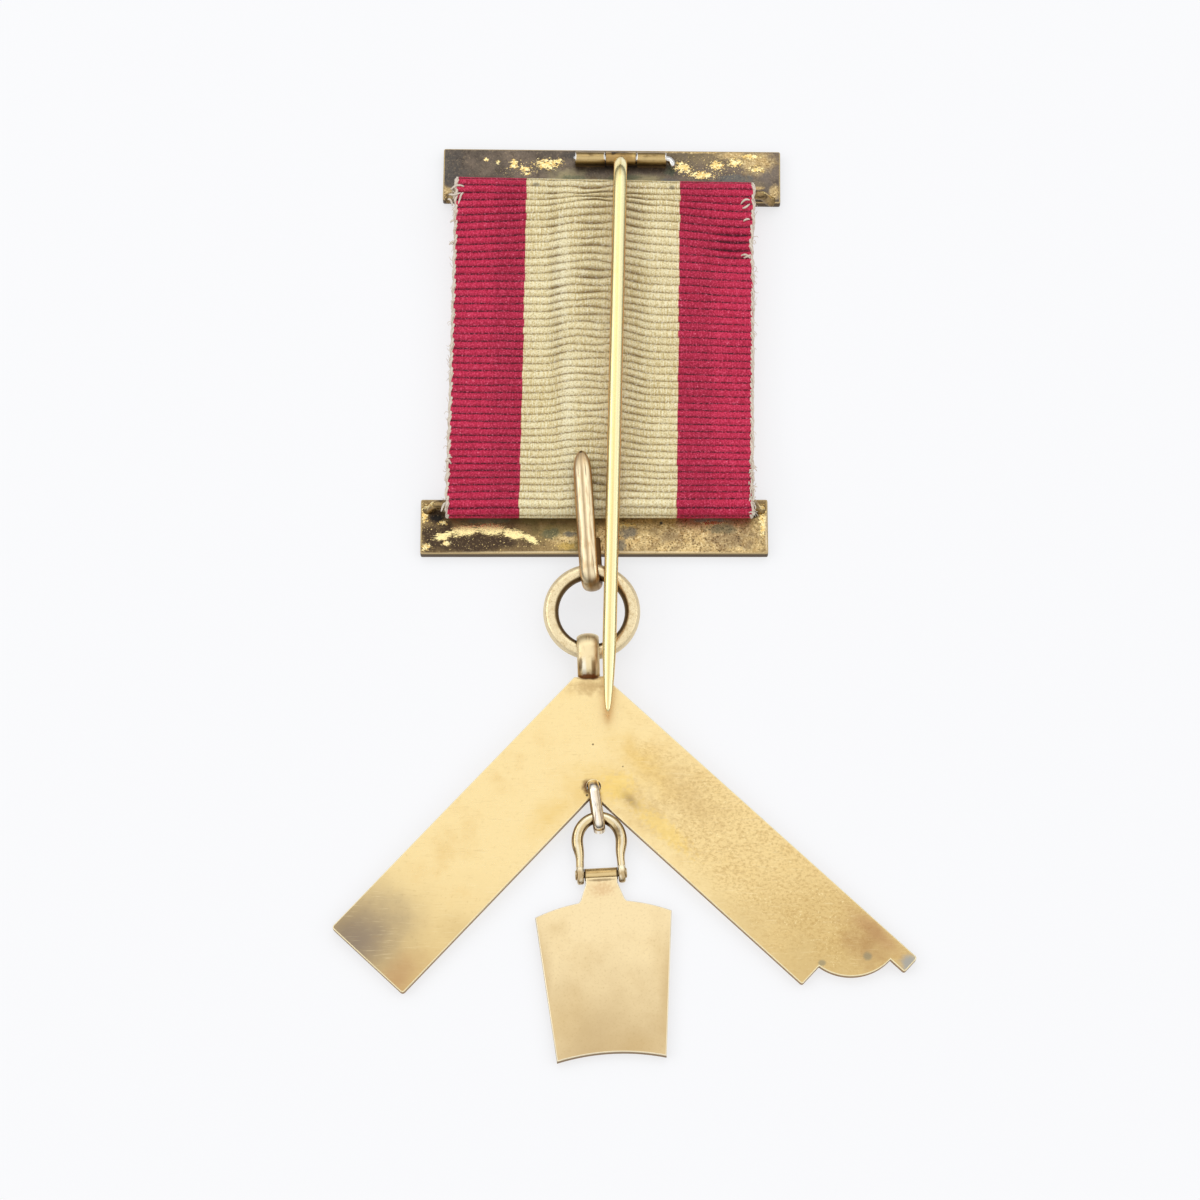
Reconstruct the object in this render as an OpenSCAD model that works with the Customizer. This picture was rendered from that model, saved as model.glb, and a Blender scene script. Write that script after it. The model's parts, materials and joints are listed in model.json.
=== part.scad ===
// Breast jewel lying face down: two bars joined by a looped ribbon, a ring on a hook,
// a builder's square and a keystone on a shackle. Millimetres, +Z up, the back of the
// jewel upward, the origin on the table under the middle of the whole jewel.
// Lengths along the jewel run from the top bar (+Y) to the keystone (-Y).

/* [Bars] */
// Height of each bar, along the ribbon
bar_h = 7; // [6:0.1:9]
// Thickness of each bar
bar_t = 1.3; // [1:0.05:1.8]
// Distance between the two bars
bar_gap = 39.6; // [25:0.1:60]
// Sideways offset of the top bar
top_shift = 2.17; // [-3:0.01:3]
// Angle by which the top bar leans
top_lean = -0.6; // [-1.5:0.1:1.5]
// Diameter of the rods that the ribbon is looped on
rod_d = 1.1; // [0.8:0.05:1.4]
// Distance of the upper rod in from the top bar's lower edge
top_rod_inset = 0.25; // [0.1:0.05:1.5]
// Distance of the lower rod in from the bottom bar's upper edge
low_rod_inset = 1.3; // [0.5:0.05:2]
// Distance of a rod's foot in from the bar's end
foot_inset = 0.65; // [0.6:0.05:1.5]

/* [Ribbon] */
// Width of the ribbon
ribbon_w = 37.2; // [30:0.1:45]
// Thickness of one layer of the ribbon
cloth_t = 1; // [1:0.05:1.3]
// Side play of the ribbon between a rod's feet
ribbon_play = 2.4; // [1.6:0.1:4]
// Slack of the loop below the lower rod
loop_slack = 0.15; // [0:0.05:0.5]
// Drop of the back layer between the rods
back_drop = 1.6; // [0.8:0.05:1.8]
// Rise of the middle of the back layer above its sides
swell_h = 0.95; // [0:0.05:1.1]
// Width of the risen middle
swell_w = 13; // [8:0.5:20]
// Sag of the front layer between the rods
front_sag = 0.7; // [0:0.05:1]

/* [Brooch pin] */
// Diameter of the pin
pin_d = 1.5; // [1.1:0.05:1.8]
// Length from the hinge to the point
pin_l = 73.3; // [50:0.1:90]
// Length of the tapered point
point_l = 8.3; // [4:0.1:14]
// Angle by which the pin leans away from square to its hinge
pin_lean = -0.7; // [-2:0.1:2]
// Distance from the hinge to where the pin levels out
rise_l = 3.2; // [2.8:0.1:5]
// Outer diameter of the hinge barrels
barrel_d = 1.75; // [1.5:0.05:2.2]
// Length of each of the two barrels on the bar
side_barrel_l = 3.7; // [2.5:0.1:5]
// Length of the pin's own barrel
mid_barrel_l = 3.75; // [2.5:0.1:5]
// Diameter of the hinge wire
wire_d = 0.8; // [0.6:0.05:0.9]
// Sideways offset of the hinge from the bar's middle
hinge_shift = 1.1; // [-3:0.1:3]
// Margin between the barrels and the bar's upper edge
hinge_edge = 0.78; // [0.3:0.02:1.2]

/* [Hook and ring] */
// Width of the hook's flattened wire
hook_w = 2.2; // [1.6:0.05:2.3]
// Thickness of the hook's wire
hook_t = 1.4; // [1.1:0.05:1.6]
// Distance of the hook's bend below the bottom bar
hook_drop = 3.03; // [2.5:0.01:5]
// Length of the hook's free leg, from the bend
hook_l = 14.4; // [10:0.1:20]
// Width of the free leg's tip
hook_tip_w = 1.35; // [1:0.05:1.5]
// Length over which the free leg narrows
hook_taper_l = 6; // [3:0.1:8]
// Angle by which the hook is twisted to one side
hook_twist = -9; // [-18:1:-5]
// Angle by which the free leg leans
hook_lean = 3.5; // [2:0.1:6]
// Sideways offset of the hook
hook_shift = -0.38; // [-1:0.01:0.3]
// Outer diameter of the ring
ring_d = 11.5; // [10:0.1:15]
// Diameter of the ring's wire
ring_wire = 1.6; // [1.2:0.05:1.8]
// Sideways offset of the ring
ring_shift = -0.29; // [-1:0.01:1]

/* [Square] */
// Width of each arm
arm_w = 11.5; // [9:0.1:14]
// Outer length of the short arm
short_l = 44; // [38:0.1:55]
// Outer length of the long arm
long_l = 52.5; // [46:0.1:65]
// Thickness of the plate
square_t = 1.2; // [1:0.05:1.5]
// Angle by which the square is turned in its plane
square_turn = 2; // [-4:0.1:4]
// Sideways offset of the square's corner
square_shift = -0.67; // [-1.5:0.01:0]
// Length cut off the outer corner along each arm
corner_cut = 2.5; // [1.5:0.1:3.5]
// Radius of the rounded shoulder at the long arm's end
shoulder_r = 6.3; // [5:0.1:7]
// Length of the full arm past the shoulder's centre
shoulder_step = 0.75; // [0.3:0.05:1.5]
// Width of the narrow tongue at the long arm's end
tongue_w = 2.3; // [1.5:0.1:3]
// Length of the tongue
tongue_l = 2.2; // [1:0.1:5]
// Width of the bail's strap
bail_w = 2.65; // [1.8:0.05:2.8]
// Thickness of the bail's strap
bail_t = 0.9; // [0.6:0.05:1.1]
// Radial play of the ring in the bail
bail_play = 0.4; // [0.3:0.05:0.6]

/* [Link and shackle] */
// Width of the corner link's flattened wire
link_w = 1.35; // [1:0.05:1.6]
// Thickness of the link's wire
link_t = 0.9; // [0.7:0.05:1.2]
// Length of the link's straight sides
link_span = 3.25; // [2.8:0.05:5]
// Angle by which the link leans
link_lean = 8; // [0:0.5:9]
// Width of the metal left between the link's hole and the inner corner
link_web = 0.6; // [0.5:0.05:1]
// Diameter of the shackle's wire
shackle_wire = 1.3; // [1:0.05:1.4]
// Diameter of the shackle's wire above the ears
shackle_low_wire = 1.05; // [0.9:0.05:1.2]
// Outer width of the shackle's arch
shackle_w = 6.4; // [6:0.05:6.6]
// Length of the shackle, from its pin to the middle of the wire in its arch
shackle_l = 6.45; // [6.2:0.05:9]
// Thickness of each ear
ear_t = 0.9; // [0.7:0.05:1.1]
// Length of an ear past the pin
ear_tail = 1.15; // [0.9:0.05:1.5]
// Diameter of the cross pin
cross_pin_d = 0.8; // [0.6:0.05:0.9]
// Diameter of the cross pin's heads
cross_head_d = 1.2; // [1:0.05:1.35]

/* [Keystone] */
// Width across the upper corners
key_top_w = 16; // [13:0.1:20]
// Width across the lower corners
key_low_w = 12.7; // [9:0.1:16]
// Height between the upper and lower corners
key_h = 17.3; // [12:0.1:24]
// Thickness of the plate
key_t = 1.2; // [0.9:0.05:1.35]
// Rise of the curved upper edge
key_crown = 1.68; // [0.8:0.02:2.2]
// Rise of the hollow lower edge
key_hollow = 0.8; // [0.3:0.05:1.5]
// Width of the neck at the barrel
neck_w = 3.75; // [3:0.05:3.9]
// Width of the neck where it meets the plate
neck_root_w = 5.15; // [4:0.05:8]
// Distance from the barrel's middle to the upper corners
neck_l = 4.95; // [4:0.05:7]
// Outer diameter of the keystone's barrel
key_barrel_d = 1.4; // [1.3:0.02:1.5]
// Length of the keystone's barrel
key_barrel_l = 3.9; // [3.8:0.05:4.2]
// Angle by which the keystone and its shackle are turned
key_turn = 3.2; // [0:0.1:5]

/* [Hidden] */

// Clearances
cloth_gap = 0.1;    // between the ribbon and the metal it passes
bore_gap = 0.05;    // radial, of a wire or pin in its bore
barrel_gap = 0.1;   // between neighbouring barrels and ears
touch_gap = 0.1;    // between metal pieces that hang in each other
solder_in = 0.1;    // depth by which soldered metal runs into its plate
solder_l = 1.6;     // length of the hook's stem on the bottom bar
hollow_res = 64;    // smoothness of round work
fine_res = 32;      // smoothness of small round work

function turned(p, a) = [p.x * cos(a) - p.y * sin(a), p.x * sin(a) + p.y * cos(a)];
function mix(a, b, share) = a + (b - a) * share;
function arc_radius(chord, rise) = (chord * chord / 4 + rise * rise) / (2 * rise);

// Bars and rods, in the frame of the bottom bar's middle
foot_x = ribbon_w / 2 + ribbon_play / 2 + rod_d / 2;
bar_w = 2 * (foot_x + foot_inset);
top_bar_y = bar_gap + bar_h;
low_rod_y = bar_h / 2 - low_rod_inset;
top_rod_v = top_rod_inset - bar_h / 2;
rod_z = bar_t + 2 * cloth_gap + cloth_t + rod_d / 2;
loop_r = rod_d / 2 + cloth_gap + cloth_t / 2;
ribbon_top_z = rod_z + loop_r + cloth_t / 2;

// Brooch pin
hinge_v = bar_h / 2 - barrel_d / 2 - hinge_edge;
hinge_z = bar_t + barrel_gap + barrel_d / 2;
pin_z = ribbon_top_z + cloth_gap + pin_d / 2;
side_barrel_x = (mid_barrel_l + side_barrel_l) / 2 + barrel_gap;
saddle_h = hinge_z - bar_t - wire_d / 2 - 2 * bore_gap + solder_in;
root_y = -0.25;
root_z = barrel_d / 2 - 0.25;

// Hook: the stem lies on the bottom bar's back, the free leg passes over the ribbon
stem_z = bar_t + hook_t / 2 - solder_in;
free_z = max(ribbon_top_z + cloth_gap + hook_t / 2, stem_z + ring_wire + hook_t + 2 * touch_gap);
hook_r = (free_z - stem_z) / 2 / cos(hook_twist);
hook_y = -bar_h / 2 - hook_drop;
hook_z = (stem_z + free_z) / 2;

// Square: arms are given by the length s along an arm and the depth t in from its outer edge
function arm_point(side, s, t) = turned([side * (s - t), -(s + t)] / sqrt(2), square_turn);
shoulder_s = long_l - tongue_l - shoulder_r;
body_s = shoulder_s + shoulder_step;
low_v = min([arm_point(-1, short_l, arm_w).y, arm_point(1, body_s, arm_w).y,
                  arm_point(1, long_l, tongue_w).y]);
inner_corner = arm_point(1, arm_w, arm_w);
square_tilt = asin((link_t + touch_gap) / (inner_corner.y - low_v));
bail_in_r = ring_wire / 2 + bail_play;
bail_out_r = bail_in_r + bail_t;
bail_sink = 0.5;
bail_up = bail_out_r - bail_sink;
bail_at = turned([0, bail_up], square_turn);

// Ring: its top wire lies in the hook's bend, its bottom wire in the bail
ring_pitch = ring_d - ring_wire;
hook_reach = abs(ring_shift - hook_shift) + hook_w / 2;
ring_sag = ring_pitch / 2 - sqrt(pow(ring_pitch / 2, 2) - pow(hook_reach, 2));
ring_top_y = hook_y - (hook_r - hook_t / 2) + ring_wire / 2 + ring_sag + touch_gap;
ring_top_z = hook_z;
bail_z = (bail_at.y - low_v) * sin(square_tilt) + square_t / 2 * cos(square_tilt);
ring_tilt = asin((ring_top_z - bail_z) / ring_pitch);
ring_low_y = ring_top_y - ring_pitch * cos(ring_tilt);
bail_ride = 0.25;
bail_y = ring_low_y + bail_ride;

// Square's outer corner on the table's plan
apex_x = square_shift;
apex_y = bail_y - bail_at.y * cos(square_tilt) + square_t / 2 * sin(square_tilt);
apex_z = -low_v * sin(square_tilt);

// Link through the hole beside the inner corner
hole_d = link_w + 0.5;
link_lift = 0.12;    // distance of the link's wire past the hole's middle
hole_v = arm_w * sqrt(2) - link_web - hole_d / 2;
hole_at = turned([0, -hole_v], square_turn);
hole_x = apex_x + hole_at.x;
hole_y = apex_y + hole_at.y * cos(square_tilt) - square_t / 2 * sin(square_tilt);
link_play = 0.25;    // of the square's plate and the shackle's wire inside the link
link_in_r = max(square_t, shackle_wire) / 2 + link_play;
link_r = link_in_r + link_t / 2;
link_z = link_r + link_t / 2;
link_dir = [sin(link_lean), -cos(link_lean)];
link_top = [hole_x, hole_y] + (link_r - link_lift) * link_dir;
link_low = link_top + link_span * link_dir;

// Shackle, from the link down to the keystone's barrel
ear_r = key_barrel_d / 2;
axis_z = ear_r + 0.02;
arch_r = (shackle_w - shackle_wire) / 2;
arch_at = link_low + (link_in_r - shackle_wire / 2 - link_play * 0.8) * link_dir;
shackle_tilt = asin((link_z - axis_z) / shackle_l);
key_dir = [sin(key_turn), -cos(key_turn)];
axis_at = arch_at + shackle_l * cos(shackle_tilt) * key_dir;
ear_x = key_barrel_l / 2 + barrel_gap + ear_t / 2;
arch_over = 28;      // angle by which the arch runs on past its half circle
ear_root = 0.7;      // length from the barrel to where the wire meets the ear
head_l = 0.18;       // thickness of the cross pin's heads

// Whole jewel's extent on the table
low_key = axis_at + turned([-key_low_w / 2, -neck_l - key_h], key_turn);
low_key_right = axis_at + turned([key_low_w / 2, -neck_l - key_h], key_turn);
high_bar = [top_shift, top_bar_y] + turned([-bar_w / 2, bar_h / 2], top_lean);
high_bar_right = [top_shift, top_bar_y] + turned([bar_w / 2, bar_h / 2], top_lean);
x_min = min(apex_x + arm_point(-1, short_l, 0).x, -bar_w / 2);
x_max = max(apex_x + arm_point(1, long_l, 0).x, bar_w / 2);
y_min = min(low_key.y, low_key_right.y);
y_max = max(high_bar.y, high_bar_right.y);

// Back layer of the ribbon from the upper rod to the lower one:
// share of the way down, share of the drop, share of the swell
back_rows = [
    [0.00, 0.00, 0.00], [0.05, 0.22, 0.06], [0.12, 0.58, 0.30], [0.22, 0.84, 0.62],
    [0.34, 0.97, 0.88], [0.48, 1.00, 1.00], [0.62, 0.98, 0.95], [0.76, 0.86, 0.72],
    [0.87, 0.58, 0.38], [0.95, 0.22, 0.08], [1.00, 0.00, 0.00]];
// Front layer between the bars' facing edges: share of the way up, share of the sag
front_rows = [[0.00, 0.00], [0.06, 0.20], [0.18, 0.70], [0.35, 1.00], [0.65, 1.00], [0.82, 0.70],
              [0.94, 0.20], [1.00, 0.00]];
// Places across the ribbon, as shares of its half width
across = [-1, -0.82, -0.62, -0.44, -0.32, -0.22, -0.12, -0.02, 0.08, 0.18, 0.28, 0.38, 0.5, 0.66, 0.84, 1];
loop_steps = 8;
// Side of the play to which the ribbon has slid on each rod, as a share
top_slide = -0.72;
low_slide = 0.52;
swell_x = 1.3;
low_fold_y = low_rod_y - loop_slack;
top_fold_y = top_bar_y + top_rod_v;
low_edge_share = (bar_h / 2 + cloth_t / 2 - low_fold_y) / (top_fold_y - low_fold_y);
top_edge_share = (top_bar_y - bar_h / 2 - cloth_t / 2 - low_fold_y) / (top_fold_y - low_fold_y);

// A row: share of the way from the lower rod to the upper one, step along Y, height, swell
ribbon_rows = concat(
    [for (r = back_rows) [1 - r[0], 0, rod_z + loop_r - r[1] * back_drop, r[2]]],
    [for (k = [1 : loop_steps - 1]) let (a = 90 + 180 * k / loop_steps)
        [0, loop_r * cos(a), rod_z + loop_r * sin(a), 0]],
    [[0, 0, rod_z - loop_r, 0]],
    [for (r = front_rows)
        [mix(low_edge_share, top_edge_share, r[0]), 0, rod_z - loop_r - r[1] * front_sag, 0]],
    [[1, 0, rod_z - loop_r, 0]],
    [for (k = [1 : loop_steps - 1]) let (a = -90 + 180 * k / loop_steps)
        [1, loop_r * cos(a), rod_z + loop_r * sin(a), 0]]);

module place() translate([-(x_min + x_max) / 2, -(y_min + y_max) / 2, 0]) children();
module in_top_bar() translate([top_shift, top_bar_y, 0]) rotate([0, 0, top_lean]) children();
module on_square() translate([apex_x, apex_y, apex_z]) rotate([square_tilt, 0, 0])
    rotate([0, 0, square_turn]) children();
module at_key_axis() translate([axis_at.x, axis_at.y, axis_z]) rotate([0, 0, key_turn]) children();

// A flattened wire's section, w across and t thick
module wire_section(w, t) {
    square([w - t, t], center = true);
    for (side = [-1, 1]) translate([side * (w - t) / 2, 0]) circle(d = t, $fn = fine_res);
}

// A round rod between two points, of diameter d at the first and end_d at the second
module strut(a, b, d, end_d = 0) {
    v = b - a;
    translate(a)
        rotate([0, acos(v.z / norm(v)), atan2(v.y, v.x)])
            cylinder(d1 = d, d2 = end_d > 0 ? end_d : d, h = norm(v), $fn = fine_res);
}

// A bar's plate with the rod that the ribbon is looped on, at v from the bar's middle
module ribbon_bar(v) {
    translate([-bar_w / 2, -bar_h / 2, 0]) cube([bar_w, bar_h, bar_t]);
    strut([-foot_x, v, rod_z], [foot_x, v, rod_z], rod_d);
    for (side = [-1, 1]) {
        translate([side * foot_x, v, rod_z]) sphere(d = rod_d, $fn = fine_res);
        translate([side * foot_x, v, bar_t - solder_in])
            cylinder(d = rod_d, h = rod_z - bar_t + solder_in, $fn = fine_res);
    }
}

// One hinge barrel along X, bored for the hinge wire
module hinge_barrel(x, l) {
    translate([x, hinge_v, hinge_z]) rotate([0, 90, 0]) difference() {
        cylinder(d = barrel_d, h = l, center = true, $fn = hollow_res);
        cylinder(d = wire_d + 2 * bore_gap, h = l + 1, center = true, $fn = fine_res);
    }
}

module top_bar() color("dimgray") place() in_top_bar() {
    ribbon_bar(top_rod_v);
    for (side = [-1, 1]) {
        x = hinge_shift + side * side_barrel_x;
        hinge_barrel(x, side_barrel_l);
        translate([x - side_barrel_l / 2, hinge_v - barrel_d / 3, bar_t - solder_in])
            cube([side_barrel_l, barrel_d * 2 / 3, saddle_h]);
    }
}

// Hinge wire with its right end bent down towards the ribbon
module hinge_wire() color("silver") place() in_top_bar() {
    reach = mid_barrel_l / 2 + barrel_gap + side_barrel_l;
    bend = [hinge_shift + reach + wire_d / 2 + 0.1, hinge_v, hinge_z];
    strut([hinge_shift - reach - 0.2, hinge_v, hinge_z], bend, wire_d);
    translate(bend) sphere(d = wire_d, $fn = fine_res);
    strut(bend, bend + [0.35, -1, 0], wire_d);
}

module brooch_pin() color("gold") place() in_top_bar() {
    hinge_barrel(hinge_shift, mid_barrel_l);
    translate([hinge_shift, hinge_v, 0]) rotate([0, 0, pin_lean]) difference() {
        union() {
            root = [0, root_y, hinge_z + root_z];
            level = [0, -rise_l, pin_z];
            taper = [0, point_l - pin_l, pin_z];
            translate(root) sphere(d = pin_d, $fn = fine_res);
            strut(root, level, pin_d);
            translate(level) sphere(d = pin_d, $fn = fine_res);
            strut(level, taper, pin_d);
            translate(taper) rotate([90, 0, 0])
                cylinder(d1 = pin_d, d2 = pin_d / 5, h = point_l - pin_d / 10, $fn = fine_res);
            translate([0, pin_d / 10 - pin_l, pin_z]) sphere(d = pin_d / 5, $fn = fine_res);
        }
        translate([0, 0, hinge_z]) rotate([0, 90, -pin_lean])
            cylinder(d = wire_d + 2 * bore_gap, h = barrel_d * 2, center = true, $fn = fine_res);
    }
}

// Middle of the wall at row r, at the share u across
function wall_at(r, u) = let (
        middle = mix(low_slide * ribbon_play / 2, top_shift + top_slide * ribbon_play / 2, r[0]),
        x = middle + u * ribbon_w / 2,
        top_y = top_fold_y + (x - top_shift) * tan(top_lean),
        off = (x - swell_x) / swell_w,
        rise = abs(off) < 0.5 ? pow(cos(180 * off), 2) : 0)
    [x, mix(low_fold_y, top_y, r[0]) + r[1], r[2] + r[3] * swell_h * rise];
// Outward normal of the wall there, in the YZ plane
function wall_normal(j, u) = let (n = len(ribbon_rows),
        d = wall_at(ribbon_rows[(j + 1) % n], u) - wall_at(ribbon_rows[(j + n - 1) % n], u))
    [0, d.z, -d.y] / norm([d.y, d.z]);

// The ribbon's closed loop round both rods: an outer and an inner skin, joined at the selvedges
module ribbon() {
    nj = len(ribbon_rows);
    ni = len(across);
    function at(i, j, k) = (i * nj + j % nj) * 2 + k;
    points = [for (u = across) for (j = [0 : nj - 1]) for (side = [1, -1])
        wall_at(ribbon_rows[j], u) + side * cloth_t / 2 * wall_normal(j, u)];
    skins = [for (i = [0 : ni - 2]) for (j = [0 : nj - 1]) each [
        [at(i, j, 0), at(i + 1, j, 0), at(i + 1, j + 1, 0)],
        [at(i, j, 0), at(i + 1, j + 1, 0), at(i, j + 1, 0)],
        [at(i, j + 1, 1), at(i + 1, j + 1, 1), at(i + 1, j, 1)],
        [at(i, j + 1, 1), at(i + 1, j, 1), at(i, j, 1)]]];
    selvedges = [for (j = [0 : nj - 1]) each [
        [at(0, j, 0), at(0, j + 1, 0), at(0, j + 1, 1)],
        [at(0, j, 0), at(0, j + 1, 1), at(0, j, 1)],
        [at(ni - 1, j + 1, 0), at(ni - 1, j, 0), at(ni - 1, j, 1)],
        [at(ni - 1, j + 1, 0), at(ni - 1, j, 1), at(ni - 1, j + 1, 1)]]];
    color("firebrick") place()
        polyhedron(points = points, faces = concat(skins, selvedges), convexity = 6);
}

// The hook's wire bent in the YZ plane about the middle of its bend
module hook() {
    straight_l = hook_l - hook_taper_l;
    rotate([0, 90, 0]) rotate([0, 0, 180]) rotate_extrude(angle = 180, $fn = hollow_res)
        translate([hook_r, 0]) rotate(90) wire_section(hook_w, hook_t);
    translate([0, 0, -hook_r]) rotate([-90, 0, 0])
        linear_extrude(hook_drop + solder_l) wire_section(hook_w, hook_t);
    translate([0, 0, hook_r]) rotate([-90, 0, 0])
        linear_extrude(straight_l) wire_section(hook_w, hook_t);
    hull() {
        translate([0, straight_l - 0.01, hook_r]) rotate([-90, 0, 0])
            linear_extrude(0.02) wire_section(hook_w, hook_t);
        translate([0, hook_l - hook_tip_w / 2, hook_r]) sphere(d = hook_tip_w, $fn = 20);
    }
}

module bottom_bar() color("peru") place() {
    ribbon_bar(low_rod_y);
    translate([hook_shift, hook_y, hook_z]) rotate([0, 0, hook_lean]) rotate([0, hook_twist, 0]) hook();
}

module suspension_ring() color("darkgoldenrod") place()
    translate([ring_shift, (ring_top_y + ring_low_y) / 2, (ring_top_z + bail_z) / 2])
        rotate([ring_tilt, 0, 0]) rotate_extrude($fn = 96)
            translate([ring_pitch / 2, 0]) circle(d = ring_wire, $fn = fine_res);

// Outline of one arm as a rectangle, side -1 for the short arm and 1 for the long one
module arm_rectangle(side, s0, s1, t0, t1)
    polygon([for (p = [[s0, t0], [s1, t0], [s1, t1], [s0, t1]])
        [side * (p.x - p.y), -(p.x + p.y)] / sqrt(2)]);

module square_outline() difference() {
    union() {
        arm_rectangle(-1, 0, short_l, 0, arm_w);
        arm_rectangle(1, 0, body_s, 0, arm_w);
        arm_rectangle(1, 0, long_l, 0, tongue_w);
        intersection() {
            translate([shoulder_s - tongue_w, -(shoulder_s + tongue_w)] / sqrt(2))
                circle(r = shoulder_r, $fn = hollow_res);
            arm_rectangle(1, shoulder_s, long_l, 0, tongue_w + shoulder_r);
        }
    }
    polygon([[0, 1], [corner_cut, -corner_cut] / sqrt(2) + [1, 0],
             [corner_cut, -corner_cut] / sqrt(2), [-corner_cut, -corner_cut] / sqrt(2),
             [-corner_cut, -corner_cut] / sqrt(2) - [1, 0]]);
}

// Bail: a strap with a rounded outside, standing on the cut corner, its feet on both faces
module bail() {
    strap_r = (bail_w * bail_w / 4 + pow(bail_t * 0.7, 2)) / (2 * bail_t * 0.7);
    foot_y = corner_cut / sqrt(2) + bail_up + 0.55;
    foot_z = square_t / 2 + solder_in;
    translate([0, bail_up, square_t / 2]) rotate([0, 90, 0]) {
        rotate_extrude($fn = hollow_res) intersection() {
            translate([bail_in_r, -bail_w / 2]) square([bail_t, bail_w]);
            translate([bail_out_r - strap_r, 0]) circle(r = strap_r, $fn = hollow_res);
        }
        difference() {
            translate([0, 0, -bail_w / 2]) linear_extrude(bail_w)
                polygon([[bail_out_r * 0.97, -0.4], [foot_z + 0.55, -foot_y * 0.82], [foot_z, -foot_y],
                         [-foot_z, -foot_y], [-foot_z - 0.55, -foot_y * 0.82], [-bail_out_r * 0.97, -0.4]]);
            cylinder(r = bail_in_r + bail_t / 2, h = bail_w + 1, center = true, $fn = hollow_res);
        }
    }
}

module square_plate() color("khaki") place() on_square() {
    difference() {
        linear_extrude(square_t) square_outline();
        translate([0, -hole_v, -1]) cylinder(d = hole_d, h = square_t + 2, $fn = fine_res);
    }
    bail();
}

// Oval link standing on edge, through the square's hole and round the shackle's arch
module corner_link() color("burlywood") place()
    translate([link_low.x, link_low.y, link_z]) rotate([0, 0, link_lean]) rotate([0, 90, 0]) {
        for (end = [0, 1]) translate([0, end * link_span, 0]) rotate([0, 0, end * 180 + 180])
            rotate_extrude(angle = 180, $fn = hollow_res) translate([link_r, 0]) rotate(90)
                wire_section(link_w, link_t);
        for (side = [-1, 1]) translate([side * link_r, 0, 0]) rotate([-90, 90, 0])
            linear_extrude(link_span) wire_section(link_w, link_t);
    }

// Shackle: an arch of round wire that narrows to two flat ears
module shackle() color("tan") place() difference() {
    at_key_axis() {
        rotate([shackle_tilt, 0, 0]) {
            arch_y = shackle_l - arch_r;
            translate([0, arch_y, 0]) rotate([0, 0, -arch_over])
                rotate_extrude(angle = 180 + 2 * arch_over, $fn = hollow_res)
                    translate([arch_r, 0]) circle(d = shackle_wire, $fn = fine_res);
            for (side = [-1, 1]) {
                waist = [side * arch_r * cos(arch_over), arch_y - arch_r * sin(arch_over), 0];
                root = [side * (ear_x - 0.1), ear_r + ear_root, 0];
                strut(waist, root, shackle_wire, shackle_low_wire);
                translate(waist) rotate([90, 0, 0]) sphere(d = shackle_wire * 1.02, $fn = fine_res);
                translate(root) rotate([90, 0, 0]) sphere(d = shackle_low_wire * 1.02, $fn = fine_res);
            }
        }
        for (side = [-1, 1]) translate([side * ear_x, 0, 0]) rotate([90, 0, 90])
            translate([0, 0, -ear_t / 2]) linear_extrude(ear_t) {
                translate([ear_r - ear_tail, 0]) circle(r = ear_r, $fn = fine_res);
                translate([ear_r - ear_tail, -ear_r]) square([ear_tail + 0.4, 2 * ear_r]);
            }
    }
    at_key_axis() rotate([0, 90, 0])
        cylinder(d = cross_pin_d + 2 * bore_gap, h = 4 * ear_x, center = true, $fn = fine_res);
}

// Cross pin with a flat head outside each ear
module cross_pin() color("darkkhaki") place() at_key_axis() rotate([0, 90, 0]) {
    head_x = ear_x + ear_t / 2 + bore_gap + head_l / 2;
    cylinder(d = cross_pin_d, h = 2 * head_x, center = true, $fn = fine_res);
    for (side = [-1, 1]) translate([0, 0, side * head_x])
        cylinder(d = cross_head_d, h = head_l, center = true, $fn = fine_res);
}

module keystone_outline() {
    crown_r = arc_radius(key_top_w, key_crown);
    hollow_r = arc_radius(key_low_w, key_hollow);
    low_y = -neck_l - key_h;
    difference() {
        union() {
            polygon([[-key_top_w / 2, -neck_l], [key_top_w / 2, -neck_l],
                     [key_low_w / 2, low_y], [-key_low_w / 2, low_y]]);
            intersection() {
                translate([0, key_crown - neck_l - crown_r]) circle(r = crown_r, $fn = 128);
                translate([-key_top_w / 2, -neck_l - 1]) square([key_top_w, key_crown + 2]);
                polygon([[-key_top_w / 2, -neck_l], [key_top_w / 2, -neck_l],
                         [key_top_w / 2, key_crown], [-key_top_w / 2, key_crown]]);
            }
        }
        translate([0, low_y + key_hollow - hollow_r]) circle(r = hollow_r, $fn = 128);
    }
    flare_y = -ear_tail - barrel_gap;
    root_y = key_crown - neck_l - 0.15;
    polygon([[-neck_w / 2, -ear_r / 3], [neck_w / 2, -ear_r / 3], [neck_w / 2, flare_y],
             [neck_root_w / 2, root_y], [neck_root_w / 2, -neck_l], [-neck_root_w / 2, -neck_l],
             [-neck_root_w / 2, root_y], [-neck_w / 2, flare_y]]);
}

module keystone() color("wheat") place() at_key_axis() difference() {
    union() {
        translate([0, 0, -axis_z]) linear_extrude(key_t) keystone_outline();
        rotate([0, 90, 0])
            cylinder(d = key_barrel_d, h = key_barrel_l, center = true, $fn = hollow_res);
    }
    rotate([0, 90, 0])
        cylinder(d = cross_pin_d + 2 * bore_gap, h = key_barrel_l + 1, center = true, $fn = fine_res);
}

top_bar();
hinge_wire();
brooch_pin();
ribbon();
bottom_bar();
suspension_ring();
square_plate();  // square
corner_link();
shackle();
cross_pin();
keystone();
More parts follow.
